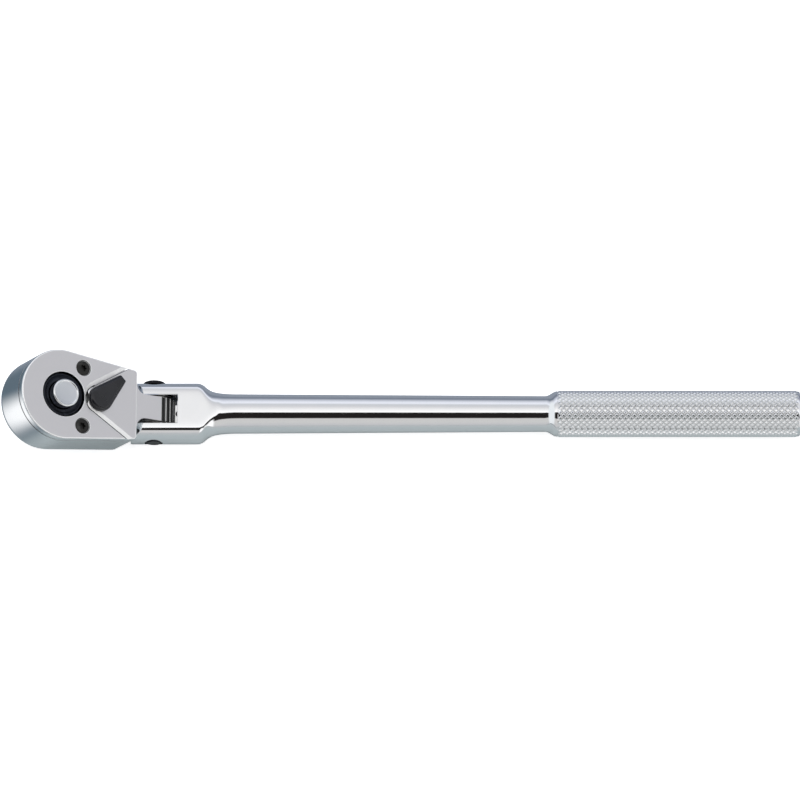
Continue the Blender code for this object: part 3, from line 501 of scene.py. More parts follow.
# ---- shapes ----
def item_from(name, shape):
    """A linked object with this mesh, its faces pointing outwards."""
    mesh = bpy.data.meshes.new(name)
    bmesh.ops.recalc_face_normals(shape, faces=shape.faces)
    shape.to_mesh(mesh)
    shape.free()
    item = bpy.data.objects.new(name, mesh)
    bpy.context.scene.collection.objects.link(item)
    return item


def bridge(shape, first, second):
    """Faces between two loops of corners. A loop of one corner is a pole."""
    count = max(len(first), len(second))
    for i in range(count):
        corners = (first[i % len(first)], first[(i + 1) % len(first)],
                   second[(i + 1) % len(second)], second[i % len(second)])
        shape.faces.new(list(dict.fromkeys(corners)))


def loft(name, rings):
    """A closed body through rings of points that match one to one."""
    shape = bmesh.new()
    loops = [[shape.verts.new(point) for point in ring] for ring in rings]
    for lower, upper in zip(loops, loops[1:]):
        bridge(shape, lower, upper)
    shape.faces.new(loops[0])
    shape.faces.new(loops[-1])
    return item_from(name, shape)


def prism(name, outline, low, high, along="Z"):
    """An outline pushed from low to high along Z, or along Y for an outline in X and Z."""
    if along == "Z":
        return loft(name, [[(u, v, level) for u, v in outline] for level in (low, high)])
    return loft(name, [[(u, level, v) for u, v in outline] for level in (low, high)])


def turned(name, profile, steps=96):
    """A lathe shape about Z from (radius, height) points, with both ends on the axis."""
    shape = bmesh.new()
    loops = []
    for radius, height in profile:
        count = steps if radius > 0 else 1
        loops.append([shape.verts.new((radius * math.cos(TURN * i / steps),
                                       radius * math.sin(TURN * i / steps), height))
                      for i in range(count)])
    for first, second in zip(loops, loops[1:]):
        bridge(shape, first, second)
    return item_from(name, shape)


def rod(name, radius, low, high, steps=96):
    """A plain cylinder about Z."""
    return turned(name, [(0, high), (radius, high), (radius, low), (0, low)], steps)


def moved(item, place):
    """The item with its mesh set in a place, its own transform left alone."""
    item.data.transform(place)
    return item


def arc(centre, radius, start, end, steps):
    """Points on a circle from one angle to another, both ends included."""
    return [(centre[0] + radius * math.cos(start + (end - start) * i / steps),
             centre[1] + radius * math.sin(start + (end - start) * i / steps))
            for i in range(steps + 1)]


def quarter_round(radius, steps=8):
    """(inset, drop) pairs of a rounded rim, from the wall to the flat top."""
    return [(radius * (1 - math.cos(QUARTER * i / steps)),
             radius * (1 - math.sin(QUARTER * i / steps))) for i in range(steps + 1)]


def settle(item):
    """Make the item's modifiers its plain mesh."""
    bpy.context.view_layer.update()
    graph = bpy.context.evaluated_depsgraph_get()
    mesh = bpy.data.meshes.new_from_object(item.evaluated_get(graph))
    item.modifiers.clear()
    item.data = mesh


def worked(item, add=(), cut=()):
    """Weld shapes on and cut shapes away, and drop those shapes."""
    for operation, helpers in (("UNION", add), ("DIFFERENCE", cut)):
        for helper in helpers:
            modifier = item.modifiers.new(operation.lower(), "BOOLEAN")
            modifier.operation = operation
            modifier.solver = "EXACT"
            modifier.object = helper
    settle(item)
    for helper in (*add, *cut):
        bpy.data.objects.remove(helper)


def soften(item, width, segments=2, angle=35):
    """Round the edges that are sharper than the angle."""
    modifier = item.modifiers.new("soften", "BEVEL")
    modifier.width = width
    modifier.segments = segments
    modifier.limit_method = "ANGLE"
    modifier.angle_limit = math.radians(angle)
    settle(item)
    return item


def finish(item, place, material, body, slot, *nodes, sharp=38):
    """Shade a shape, set it in place on its body, and hide the CAD nodes it replaces."""
    item.data.materials.clear()
    item.data.materials.append(FINISHES[material])
    item.data.shade_smooth()
    item.data.set_sharp_from_angle(angle=math.radians(sharp))
    weighted = item.modifiers.new("weighted", "WEIGHTED_NORMAL")
    weighted.keep_sharp = True
    settle(item)
    moved(item, place)
    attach(item, body)
    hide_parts(*nodes)


# ---- outlines of the head ----
def tapered_outline(radius, reach, spread, corner, steps, inset=0.0):
    """A round end about the origin that tapers along +X to two rounded corners."""
    sharpest = corner / 8
    shortfall = max(inset - (corner - sharpest), 0)
    small = corner - inset + shortfall
    big = radius - inset
    centre = (reach - shortfall, spread - shortfall)
    lean = math.atan2(centre[1], centre[0])
    touch = lean + math.acos((big - small) / math.hypot(*centre))
    round_end = arc((0, 0), big, touch, TURN - touch, steps)
    lower = arc((centre[0], -centre[1]), small, -touch, 0, 8)
    upper = arc(centre, small, 0, touch, 8)
    return round_end + lower + upper


def pear_ring(inset, level):
    """The head's pear outline, drawn in by inset, at this height."""
    outline = tapered_outline(TIP_RADIUS, TIP_REACH - SHOULDER_REACH - SHOULDER_CORNER,
                              SHOULDER_SPREAD, SHOULDER_CORNER, 96, inset)
    return [(u - TIP_REACH, v, level) for u, v in outline]


def v_edge(upper, lower, length=0.030, steps=24):
    """The V between plate and deck, grown by one margin on its +Y arm and one on its -Y arm."""
    tangent = QUARTER + ARM_ANGLE
    apex = []
    for i in range(steps + 1):
        share = i / steps
        radius = APEX_RADIUS + upper * (1 - share) + lower * share
        angle = tangent + (TURN - 2 * tangent) * share
        apex.append((radius * math.cos(angle) - LEVER_REACH, radius * math.sin(angle)))
    run = length * math.cos(ARM_ANGLE)
    rise = length * math.sin(ARM_ANGLE)
    return ([(apex[0][0] + run, apex[0][1] + rise)] + apex
            + [(apex[-1][0] + run, apex[-1][1] - rise)])


def knuckle_outline(neck_end, steps=8):
    """Side view of the tang: a notched round knuckle about the origin and its neck."""
    half_chord = KNUCKLE_RADIUS * math.sin(NOTCH_PITCH / 2)
    notch_centre = (KNUCKLE_RADIUS * math.cos(NOTCH_PITCH / 2)
                    + math.sqrt(NOTCH_RADIUS ** 2 - half_chord ** 2))
    points = []
    for notch in range(NOTCH_COUNT):
        for i in range(steps):
            off = NOTCH_PITCH * (0.5 - i / steps)
            depth = math.sqrt(NOTCH_RADIUS ** 2 - (notch_centre * math.sin(off)) ** 2)
            radius = notch_centre * math.cos(off) - depth
            angle = QUARTER - NOTCH_PITCH * notch + off
            points.append((radius * math.cos(angle), radius * math.sin(angle)))
    last = QUARTER - NOTCH_PITCH * (NOTCH_COUNT - 0.5)
    points.append((KNUCKLE_RADIUS * math.cos(last), KNUCKLE_RADIUS * math.sin(last)))
    return points + [(neck_end, -KNUCKLE_RADIUS), (neck_end, KNUCKLE_RADIUS)]


def pawl_room():
    """Plan of the pawl's pocket about the lever's axis."""
    gear = (LEVER_REACH - GEAR_REACH, 0)
    span = POCKET_HALF_SPAN
    front = arc(gear, GEAR_TIP_RADIUS - POCKET_FRONT, -span, span, 24)
    shoulder = arc(gear, POCKET_SHOULDER, span, span - POCKET_SHOULDER_TURN, 1)
    back = arc((0, 0), POCKET_HUB, POCKET_HUB_TURN, -POCKET_HUB_TURN, 24)
    return front + shoulder + back + [(u, -v) for u, v in reversed(shoulder)]


# ---- head pieces ----
def tang_shapes():
    """The notched tang, and the flare that sweeps it into the head's shoulders."""
    neck_end = -SHOULDER_REACH - TANG_FILLET
    tang = prism("tang", knuckle_outline(neck_end), -TANG_HALF, TANG_HALF, "Y")
    top = TANG_HALF + TANG_FILLET
    centre = (-SHOULDER_REACH + TANG_FILLET, top)
    sweep = arc(centre, TANG_FILLET, -QUARTER, -math.pi, 12)
    inner = -SHOULDER_REACH - TANG_FILLET / 2
    outline = sweep + [(inner, top), (inner, -top)] + [(u, -v) for u, v in reversed(sweep)]
    level = KNUCKLE_RADIUS - FLUSH
    return tang, prism("tang_flare", outline, -level, level)


def plate_recess():
    """What is cut from the forging to seat the plate, with the V's chamfer on the deck."""
    far = -TIP_REACH - 2 * TIP_RADIUS
    wide = 2 * TIP_RADIUS
    near = v_edge(0, 0)[0][0]
    steps = ((0, 0, PLATE_BOTTOM - GAP), (0, 0, FACE_LEVEL - CHAMFER_DEPTH),
             (-THIN_CHAMFER, -WIDE_CHAMFER, FACE_LEVEL),
             (-THIN_CHAMFER, -WIDE_CHAMFER, 2 * FACE_LEVEL))
    rings = []
    for upper, lower, height in steps:
        outline = v_edge(upper, lower) + [(near, -wide), (far, -wide), (far, wide), (near, wide)]
        rings.append([(u, v, height) for u, v in outline])
    return loft("plate_recess", rings)


def head_bores():
    """Gear chamber, journal bore, pawl pocket, lever bore, pin bore and two tapped holes."""
    shaft = LEVER_SHAFT_RADIUS + GAP
    lever_bore = [(0, 2 * FACE_LEVEL), (shaft, 2 * FACE_LEVEL), (shaft, 0), (LEVER_FOOT_BORE, 0),
                  (LEVER_FOOT_BORE, LEVER_FOOT_END), (0, LEVER_FOOT_END)]
    pocket = prism("pawl_pocket", pawl_room(), CHAMBER_FLOOR + GAP, PLATE_BOTTOM)
    bores = [
        moved(rod("gear_chamber", CHAMBER_RADIUS, CHAMBER_FLOOR, FACE_LEVEL), AT_GEAR),
        moved(rod("journal_bore", JOURNAL_RADIUS + GAP, 2 * BACK_LEVEL, 0), AT_GEAR),
        moved(pocket, AT_LEVER),
        moved(turned("lever_bore", lever_bore, 64), AT_LEVER),
        moved(rod("tang_bore", PIN_BORE, -2 * TANG_HALF, 2 * TANG_HALF, 64),
              Matrix.Rotation(QUARTER, 4, "X")),
    ]
    for side in (1, -1):
        hole = rod("tapped_hole", SCREW_SHANK_RADIUS + GAP, screw_low.z - GAP, FACE_LEVEL, 32)
        bores.append(moved(hole, screw_place(side)))
    return bores


def screw_place(side):
    """Where the cover screw on the +Y side (1) or the -Y side (-1) stands in the head."""
    return Matrix.Translation((-SCREW_REACH, side * SCREW_SPREAD, 0))


def top_rim():
    """(inset, level) steps of the rounded rim up to the face."""
    return [(inset, FACE_LEVEL - drop) for inset, drop in quarter_round(RIM)]


def make_head_shell():
    """Forged head with its deck, polished walls, tang and notched knuckle."""
    under = [(inset, BACK_LEVEL + drop) for inset, drop in quarter_round(BACK_ROUNDING)]
    rings = [pear_ring(inset, level) for inset, level in list(reversed(under)) + top_rim()]
    shell = loft("head_forging", rings)
    worked(shell, add=tang_shapes(), cut=(plate_recess(),))
    soften(shell, SHELL_EDGE, 2, 40)
    worked(shell, cut=head_bores())
    finish(shell, HEAD, "satin_chrome", "head", "satin_chrome", "head_body", sharp=14)


def rounded_lip(radius, edge, above):
    """Profile of a bore's rounded mouth in the plate's face, from above the face down."""
    lip = [(radius + drop, FACE_LEVEL - inset) for inset, drop in quarter_round(edge)]
    return [(radius + edge, above)] + lip


def make_cover():
    """V-notched cover plate with its ring bore and two countersinks."""
    foot = [(BREAK, PLATE_BOTTOM), (0, PLATE_BOTTOM + BREAK)]
    cover = loft("cover_top", [pear_ring(inset, level) for inset, level in foot + top_rim()])
    steps = ((GAP, GAP, 0), (GAP, GAP, FACE_LEVEL - CHAMFER_DEPTH),
             (GAP + WIDE_CHAMFER, GAP + THIN_CHAMFER, FACE_LEVEL),
             (GAP + WIDE_CHAMFER, GAP + THIN_CHAMFER, 2 * FACE_LEVEL))
    notch = loft("plate_notch", [[(u, v, height) for u, v in v_edge(upper, lower)]
                                 for upper, lower, height in steps])
    worked(cover, cut=(notch,))
    soften(cover, COVER_EDGE, 2, 40)
    bore = RING_RADIUS + GAP
    above = 2 * FACE_LEVEL
    profile = [(0, above)] + rounded_lip(bore, BORE_LIP, above) + [(bore, 0), (0, 0)]
    cutters = [moved(turned("ring_bore", profile, 128), AT_GEAR)]
    head = SCREW_HEAD_RADIUS + GAP
    shank = SCREW_SHANK_RADIUS + GAP
    cone = FACE_LEVEL - 2 * BREAK
    profile = [(0, above)] + rounded_lip(head, BREAK, above)
    profile += [(head, cone), (shank, cone - (head - shank)), (shank, 0), (0, 0)]
    for side in (1, -1):
        cutters.append(moved(turned("countersink", profile, 64), screw_place(side)))
    worked(cover, cut=cutters)
    finish(cover, HEAD, "satin_chrome", "head", "satin_chrome", "cover_plate", sharp=14)


# ---- trees for pieces that repeat ----
def repeat_tree(name, sizes):
    """A Geometry Nodes tree with a geometry input and output and these named sizes."""
    tree = bpy.data.node_groups.new(name, "GeometryNodeTree")
    tree.interface.new_socket("Geometry", in_out="OUTPUT", socket_type="NodeSocketGeometry")
    tree.interface.new_socket("Geometry", in_out="INPUT", socket_type="NodeSocketGeometry")
    for size, value in sizes.items():
        kind = "NodeSocketInt" if isinstance(value, int) else "NodeSocketFloat"
        tree.interface.new_socket(size, in_out="INPUT", socket_type=kind)
    nodes = Nodes(tree)
    source = tree.nodes.new("NodeGroupInput")
    fed = {output.name: Signal(nodes, output) for output in source.outputs if output.name}
    return nodes, fed


def close_tree(nodes, points, shape, rotation, material):
    """Put the shape on the points, make it real, give it its finish."""
    placed = nodes.add("GeometryNodeInstanceOnPoints",
                       sockets={"Points": points, "Instance": shape, "Rotation": rotation})
    real = nodes.add("GeometryNodeRealizeInstances", None, placed)
    dressed = nodes.add("GeometryNodeSetMaterial", sockets={"Geometry": real,
                                                            "Material": FINISHES[material]})
    nodes.add("NodeGroupOutput", None, dressed)
    return nodes.tree


def repeated(item, tree, sizes):
    """Run the tree on the item with these sizes and keep the plain mesh."""
    modifier = item.modifiers.new("repeat", "NODES")
    modifier.node_group = tree
    for socket in tree.interface.items_tree:
        if socket.in_out == "INPUT" and socket.name in sizes:
            modifier[socket.identifier] = sizes[socket.name]
    settle(item)


def ring_tree(material):
    """Copies of a shape evenly round the Z axis."""
    nodes, fed = repeat_tree("evenly_round", {"Count": 1})
    index = nodes.add("GeometryNodeInputIndex")
    turn = nodes.add("ShaderNodeCombineXYZ", sockets={"Z": index * TURN / fed["Count"]})
    points = nodes.add("GeometryNodePoints", None, fed["Count"])
    return close_tree(nodes, points, fed["Geometry"], turn, material)


def pair_tree(material):
    """Two copies of a shape either side of the middle line."""
    nodes, fed = repeat_tree("screw_pair", {"Reach": 0.0, "Spread": 0.0})
    index = nodes.add("GeometryNodeInputIndex")
    place = nodes.add("ShaderNodeCombineXYZ", sockets={"X": -fed["Reach"],
                                                       "Y": fed["Spread"] * (1 - 2 * index)})
    points = nodes.add("GeometryNodePoints", None, 2, place)
    return close_tree(nodes, points, fed["Geometry"], (0, 0, 0), material)


def knurl_tree(material):
    """Diamonds in staggered rows round the grip, which runs along X."""
    nodes, fed = repeat_tree("knurl", {"Rows": 1, "Columns": 1, "Start": 0.0, "Pitch": 0.0,
                                       "Radius": 0.0})
    index = nodes.add("GeometryNodeInputIndex")
    row = index.maths("FLOOR", (index + 0.5) / fed["Columns"])
    column = index - row * fed["Columns"]
    odd = row.maths("MODULO", row, 2.0)
    angle = (column + odd * 0.5) * TURN / fed["Columns"]
    sine = angle.maths("SINE", angle)
    cosine = angle.maths("COSINE", angle)
    place = nodes.add("ShaderNodeCombineXYZ", None, fed["Start"] + (row + 1) * fed["Pitch"] / 2,
                      -(fed["Radius"] * sine), fed["Radius"] * cosine)
    turn = nodes.add("ShaderNodeCombineXYZ", sockets={"X": angle})
    points = nodes.add("GeometryNodePoints", None, fed["Rows"] * fed["Columns"], place)
    return close_tree(nodes, points, fed["Geometry"], turn, material)


def make_cover_screws():
    """Two blackened flat-head screws with six-lobed recesses."""
    top = screw_high.z
    head = SCREW_HEAD_RADIUS
    shank = SCREW_SHANK_RADIUS
    end = screw_low.z
    profile = [(0, top), (head - BREAK, top), (head - 0.3 * BREAK, top - 0.3 * BREAK),
               (head, top - BREAK), (shank, top - BREAK - (head - shank)),
               (shank, end + 2 * BREAK), (shank - 2 * BREAK, end), (0, end)]
    screw = turned("cover_screw_heads", profile, 64)
    lobes = []
    steps = 72
    for i in range(steps):
        angle = TURN * i / steps
        radius = SCREW_RECESS_RADIUS + SCREW_LOBE_HEIGHT * math.cos(SCREW_LOBES * angle)
        lobes.append((radius * math.cos(angle), radius * math.sin(angle)))
    worked(screw, cut=(prism("recess", lobes, top - SCREW_RECESS_DEPTH, 2 * top),))
    repeated(screw, pair_tree("screw_oxide"), {"Reach": SCREW_REACH, "Spread": SCREW_SPREAD})
    finish(screw, HEAD, "screw_oxide", "head", "black_oxide", "cover_screw_upper",
           "cover_screw_lower")


# ---- drive pieces ----
def square_shape(journal_end):
    """The drive square, chamfered at its end and softened along its corners."""
    half = SQUARE / 2
    corner = SQUARE_CHAMFER * 0.6
    side = [(half, -half + corner), (half, half - corner)]
    outline = []
    for quarter in range(4):
        spin = Matrix.Rotation(quarter * QUARTER, 2)
        outline += [tuple(spin @ Vector(point)) for point in side]
    shrink = 1 - SQUARE_CHAMFER / half
    inner = [(u * shrink, v * shrink) for u, v in outline]
    rings = [[(u, v, gear_low.z) for u, v in inner],
             [(u, v, gear_low.z + SQUARE_CHAMFER) for u, v in outline],
             [(u, v, journal_end + 2 * BREAK) for u, v in outline]]
    return soften(loft("square", rings), SQUARE_EDGE, 3, 30)


def anvil_profile(pocket, journal_end):
    """The anvil's turned shape, from the dished ring down to the lower journal's end."""
    ring_top = gear_high.z
    core = GEAR_TIP_RADIUS - TOOTH_DEPTH - BREAK
    journal = JOURNAL_RADIUS
    groove = journal - SEAL_GROOVE_DEPTH
    slope = [(pocket + BREAK + DISH_WIDTH * i / 8,
              ring_top - DISH_DEPTH * math.cos(QUARTER * i / 8)) for i in range(9)]
    edge = [(RING_RADIUS - RIM + RIM * math.sin(QUARTER * i / 5),
             ring_top - RIM * (1 - math.cos(QUARTER * i / 5))) for i in range(6)]
    return ([(0, ring_top - DISH_DEPTH), (pocket, ring_top - DISH_DEPTH)] + slope + edge
            + [(RING_RADIUS, GEAR_TOP), (core, GEAR_TOP), (core, GEAR_BOTTOM),
               (journal, GEAR_BOTTOM), (journal, SEAL_LEVEL + RIM), (groove, SEAL_LEVEL + RIM),
               (groove, SEAL_LEVEL - RIM), (journal, SEAL_LEVEL - RIM),
               (journal, journal_end + BREAK), (journal - BREAK, journal_end),
               (0, journal_end)])


def make_anvil():
    """The drive anvil: dished ring, gear core, lower journal and chamfered square."""
    journal_end = gear_low.z + SQUARE_LENGTH
    pocket = BUTTON_RADIUS + GAP
    anvil = turned("drive_anvil", anvil_profile(pocket, journal_end), 128)
    room = [(0, 2 * FACE_LEVEL), (pocket, 2 * FACE_LEVEL), (pocket, BUTTON_ROOM_FLOOR),
            (SPRING_BORE, BUTTON_ROOM_FLOOR), (SPRING_BORE, SPRING_SEAT),
            (PIN_ROOM, SPRING_SEAT), (PIN_ROOM, PIN_ROOM_FLOOR), (0, PIN_ROOM_FLOOR)]
    towards_tip = Matrix.Rotation(-QUARTER, 4, "Y")
    hole = moved(rod("ball_hole", BALL_HOLE_RADIUS, 0, SQUARE, 48),
                 Matrix.Translation((0, 0, BALL_HOLE_LEVEL)) @ towards_tip)
    worked(anvil, add=(square_shape(journal_end),), cut=(turned("release_bore", room, 96), hole))
    finish(anvil, DRIVE, "black_oxide", "drive", "black_oxide", "drive_gear")


def make_gear_teeth():
    """Fine pointed teeth round the anvil's core."""
    tip = GEAR_TIP_RADIUS
    valley = tip - TOOTH_DEPTH
    root = valley - 2 * BREAK
    pitch = TURN / TOOTH_COUNT
    outline = [(radius * math.cos(share * pitch), radius * math.sin(share * pitch))
               for radius, share in ((root, -0.5), (valley, -0.5), (tip, -0.10), (tip, 0.10),
                                     (valley, 0.5), (root, 0.5))]
    tooth = prism("drive_gear_teeth", outline, GEAR_BOTTOM, GEAR_TOP)
    repeated(tooth, ring_tree("tool_steel"), {"Count": TOOTH_COUNT})
    finish(tooth, DRIVE, "tool_steel", "drive", "black_oxide", "drive_gear")


def make_release_button():
    """Flat satin disc in a rolled bright rim, hollow underneath for its spring and pin."""
    top = button_high.z
    radius = BUTTON_RADIUS
    sunk = top - BREAK
    rim = [(radius - BUTTON_EDGE * (1 - math.sin(QUARTER * i / 6)),
            top - BUTTON_EDGE * (1 - math.cos(QUARTER * i / 6))) for i in range(7)]
    lip = [(radius - BUTTON_EDGE - share * BREAK, top - drop * BREAK)
           for share, drop in ((1.8, 1.0), (1.3, 0.8), (0.8, 0.2), (0.4, 0.0))]
    hollow = spring_high.x + BUTTON_SPRING_ROOM
    roof = button_low.z + BUTTON_HOLLOW_DEPTH
    profile = [(0, sunk)] + lip + rim + [(radius, button_low.z), (hollow, button_low.z),
                                         (hollow, roof), (0, roof)]
    button = turned("release_button_cap", profile, 128)
    finish(button, DRIVE, "button_steel", "release", "bright_chrome", "release_button",
           sharp=50)


def make_drive_ball():
    """Socket-holding ball in the square."""
    low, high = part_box("drive_ball")
    shape = bmesh.new()
    bmesh.ops.create_uvsphere(shape, u_segments=64, v_segments=32, radius=(high.z - low.z) / 2)
    ball = item_from("socket_ball", shape)
    finish(ball, Matrix.Translation((low + high) / 2), "ball_steel", "drive_ball",
           "ball_steel", "drive_ball")


# ---- lever ----
def lever_shaft_profile(deck):
    """The lever's shaft, with grooves for its seal and retaining ring and a stepped foot."""
    shaft = LEVER_SHAFT_RADIUS
    neck = shaft - RIM
    seal_floor = shaft - 3 * GAP
    seal = (FACE_LEVEL + PLATE_BOTTOM) / 2
    clip_top = PLATE_BOTTOM
    clip_bottom = PLATE_BOTTOM - CLIP_DEPTH - GAP
    return [(0, deck + LEVER_ROOT), (shaft, deck + LEVER_ROOT), (shaft, seal + RIM),
            (seal_floor, seal + RIM), (seal_floor, seal - RIM), (shaft, seal - RIM),
            (shaft, clip_top), (neck, clip_top), (neck, clip_bottom), (shaft, clip_bottom),
            (shaft, PAWL_BOTTOM + GAP), (neck, PAWL_BOTTOM - GAP), (neck, lever_low.z),
            (0, lever_low.z)]


def make_lever():
    """Direction lever: a soft-edged thumb piece on its stepped shaft."""
    deck = FACE_LEVEL + GAP
    sides = [(BREAK, deck), (0, deck + BREAK)]
    sides += [(inset, lever_high.z - drop) for inset, drop in quarter_round(LEVER_EDGE)]
    rings = []
    for inset, level in sides:
        outline = tapered_outline(LEVER_HUB, LEVER_ARM - 2 * RIM, LEVER_TIP_HALF - RIM, RIM, 48,
                                  inset)
        rings.append([(u, v, level) for u, v in outline])
    lever = loft("reverse_thumb_lever", rings)
    shaft = turned("lever_shaft", lever_shaft_profile(deck), 64)
    level = (PAWL_BOTTOM + PLATE_BOTTOM - CLIP_DEPTH - GAP) / 2
    detent = rod("detent_bore", PAWL_DETENT_RADIUS, -LEVER_SHAFT_RADIUS * 0.55,
                 2 * LEVER_SHAFT_RADIUS, 48)
    moved(detent, Matrix.Translation((0, 0, level)) @ Matrix.Rotation(QUARTER, 4, "Y"))
    worked(lever, add=(shaft,), cut=(detent,))
    finish(lever, LEVER, "black_lever", "lever", "black_lever", "reverse_lever")


# ---- flex joint and handle ----
def make_flex_bolt():
    """Domed flex screw with a six-sided recess, its shank through the clevis."""
    high = bolt_high.y
    end = bolt_low.y
    seat = high - BOLT_HEAD_HEIGHT
    shank = PIN_BORE - GAP
    dome = [(BOLT_HEAD_RADIUS * math.sin(QUARTER * i / 8),
             high - BOLT_DOME * (1 - math.cos(QUARTER * i / 8))) for i in range(9)]
    profile = dome + [(BOLT_HEAD_RADIUS, seat), (shank, seat), (shank, end + BOLT_END_CHAMFER),
                      (shank - BOLT_END_CHAMFER, end), (0, end)]
    bolt = turned("flex_bolt", profile, 96)
    hexagon = arc((0, 0), BOLT_HEX_RADIUS, 0, TURN * 5 / 6, 5)
    worked(bolt, cut=(prism("hex_recess", hexagon, high - BOLT_DOME, 2 * high),))
    upright = Matrix.Rotation(-QUARTER, 4, "X")
    finish(bolt, HANDLE @ upright, "bolt_oxide", "handle", "black_oxide", "flex_screw")


def neck_fall(share):
    """How much of the neck's fall in radius is left at this share of its length, 1 to 0."""
    falls = NECK_FALLS
    slopes = []
    for i in range(len(falls)):
        before = falls[max(i - 1, 0)]
        after = falls[min(i + 1, len(falls) - 1)]
        slopes.append((after[1] - before[1]) / (after[0] - before[0]))
    slopes[0] = 0
    slopes[-1] = 0
    for i in range(len(falls) - 1):
        start, end = falls[i], falls[i + 1]
        if share <= end[0]:
            width = end[0] - start[0]
            t = (share - start[0]) / width
            return ((2 * t ** 3 - 3 * t ** 2 + 1) * start[1]
                    + (t ** 3 - 2 * t ** 2 + t) * width * slopes[i]
                    + (3 * t ** 2 - 2 * t ** 3) * end[1]
                    + (t ** 3 - t ** 2) * width * slopes[i + 1])
    return 0


def handle_section(radius, flat, station, count=240):
    """A round section whose top and bottom are flattened at this height, with soft edges."""
    points = []
    for i in range(count):
        angle = TURN * i / count
        up = abs(math.cos(angle)) / flat
        reach = (radius ** -SECTION_EDGE + up ** SECTION_EDGE) ** (-1 / SECTION_EDGE)
        points.append((station, reach * math.sin(angle), reach * math.cos(angle)))
    return points


def handle_stations():
    """(radius, height of the flats, distance from the flex screw) along the forging."""
    grip_start = BUTT - GRIP_LENGTH
    flare_start = grip_start - FLARE_LENGTH
    core = GRIP_RADIUS - KNURL_HEIGHT - CORE_DROP
    lip = GRIP_RADIUS - BREAK
    round_bar = 3 * CLEVIS_FLAT                 # flats too far out to cut anything
    flats_fade = 0.45                           # share of the neck where they start to go
    neck_steps = 40
    flare_steps = 16
    stations = [(CLEVIS_RADIUS, CLEVIS_FLAT, -2 * EAR_RADIUS)]
    for i in range(neck_steps + 1):
        share = i / neck_steps
        radius = SHAFT_FRONT + (CLEVIS_RADIUS - SHAFT_FRONT) * neck_fall(share)
        fade = min(max((share - flats_fade) / 0.5, 0), 1)
        flat = CLEVIS_FLAT + (round_bar - CLEVIS_FLAT) * fade ** 2
        stations.append((radius, flat, CLEVIS_LENGTH + CLEVIS_BLEND * share))
    for i in range(flare_steps + 1):
        rise = (1 - math.cos(math.pi * i / flare_steps)) / 2
        stations.append((SHAFT_BACK + (lip - SHAFT_BACK) * rise, round_bar,
                         flare_start + (FLARE_LENGTH - KNURL_LEAD) * i / flare_steps))
    stations += [(core, round_bar, grip_start - KNURL_LEAD + BREAK),
                 (core, round_bar, BUTT - BUTT_EDGE - BREAK)]
    for inset, drop in quarter_round(BUTT_EDGE, 6):
        stations.append((lip - inset, round_bar, BUTT - drop))
    return stations


def slot_ring(growth, level):
    """The slot between the ears, wider by growth at this height."""
    half = SLOT_HALF + growth
    end = SLOT_BOTTOM + growth
    wide = 2 * CLEVIS_RADIUS
    return [(-wide, -half, level), (end, -half, level), (end, half, level), (-wide, half, level)]


def make_handle():
    """Polished forging: clevis, shaft, flare, and the plain core of the grip."""
    handle = loft("handle_forging", [handle_section(*row) for row in handle_stations()])
    wide = 2 * CLEVIS_RADIUS
    ends = arc((0, 0), EAR_RADIUS, -QUARTER, -3 * QUARTER, 48)
    ears = ends + [(0, wide), (-wide, wide), (-wide, -wide), (0, -wide)]
    inside = CLEVIS_FLAT - SLOT_EDGE
    rings = [slot_ring(wide, -wide - inside), slot_ring(0, -inside), slot_ring(0, inside),
             slot_ring(wide, wide + inside)]
    seat = bolt_high.y - BOLT_HEAD_HEIGHT - GAP
    spot = BOLT_HEAD_RADIUS + GAP
    profile = [(0, wide), (spot, wide), (spot, seat), (PIN_BORE, seat), (PIN_BORE, -wide),
               (0, -wide)]
    bore = moved(turned("flex_bore", profile, 96), Matrix.Rotation(-QUARTER, 4, "X"))
    channel = moved(rod("detent_channel", DETENT_BORE, 0, DETENT_DEPTH, 48),
                    Matrix.Rotation(QUARTER, 4, "Y"))
    worked(handle, cut=(prism("ear_ends", ears, -wide, wide, "Y"), loft("slot", rings), bore,
                        channel))
    finish(handle, HANDLE, "bright_chrome", "handle", "bright_chrome", "handle")


def make_knurl():
    """Flattened diamonds that cover the grip."""
    columns = KNURL_COLUMNS
    length = GRIP_LENGTH + KNURL_LEAD - BUTT_EDGE
    rows = 2 * int(length / KNURL_PITCH) - 1
    pitch = 2 * length / (rows + 1)
    floor = GRIP_RADIUS - KNURL_HEIGHT
    overlap = 1.02
    across = math.pi * floor / columns * overlap
    along = pitch / 2
    rim = [(along, 0), (0, across), (-along, 0), (0, -across)]
    rings = [[(u * size, v * size, level) for u, v in rim]
             for size, level in ((1.0, -FLUSH), (0.96, 0.0), (0.34, KNURL_HEIGHT))]
    diamond = loft("grip_knurl", rings)
    sizes = {"Rows": rows, "Columns": columns, "Pitch": pitch,
             "Start": BUTT - GRIP_LENGTH - KNURL_LEAD, "Radius": floor - DIAMOND_DROP}
    repeated(diamond, knurl_tree("knurl_chrome"), sizes)
    diamond.data.shade_flat()
    moved(diamond, HANDLE)
    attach(diamond, "handle")
    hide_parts("handle")


def dress_inner_pieces():
    """New finishes for the CAD nodes that keep their shape."""
    finishes = {
        "gear_washer": "tool_steel", "pawl": "tool_steel", "release_pin": "tool_steel",
        "flex_washer_upper": "tool_steel", "flex_washer_lower": "tool_steel",
        "release_spring": "spring_steel", "pawl_detent_spring": "spring_steel",
        "flex_detent_spring": "spring_steel", "lever_retaining_ring": "spring_steel",
        "pawl_detent_ball": "ball_steel", "flex_detent_ball": "ball_steel",
        "drive_seal": "seal_rubber", "lever_o_ring": "seal_rubber",
    }
    for node, finish_name in finishes.items():
        item = frame["nodes"][node]
        item.data.materials.clear()
        item.data.materials.append(FINISHES[finish_name])


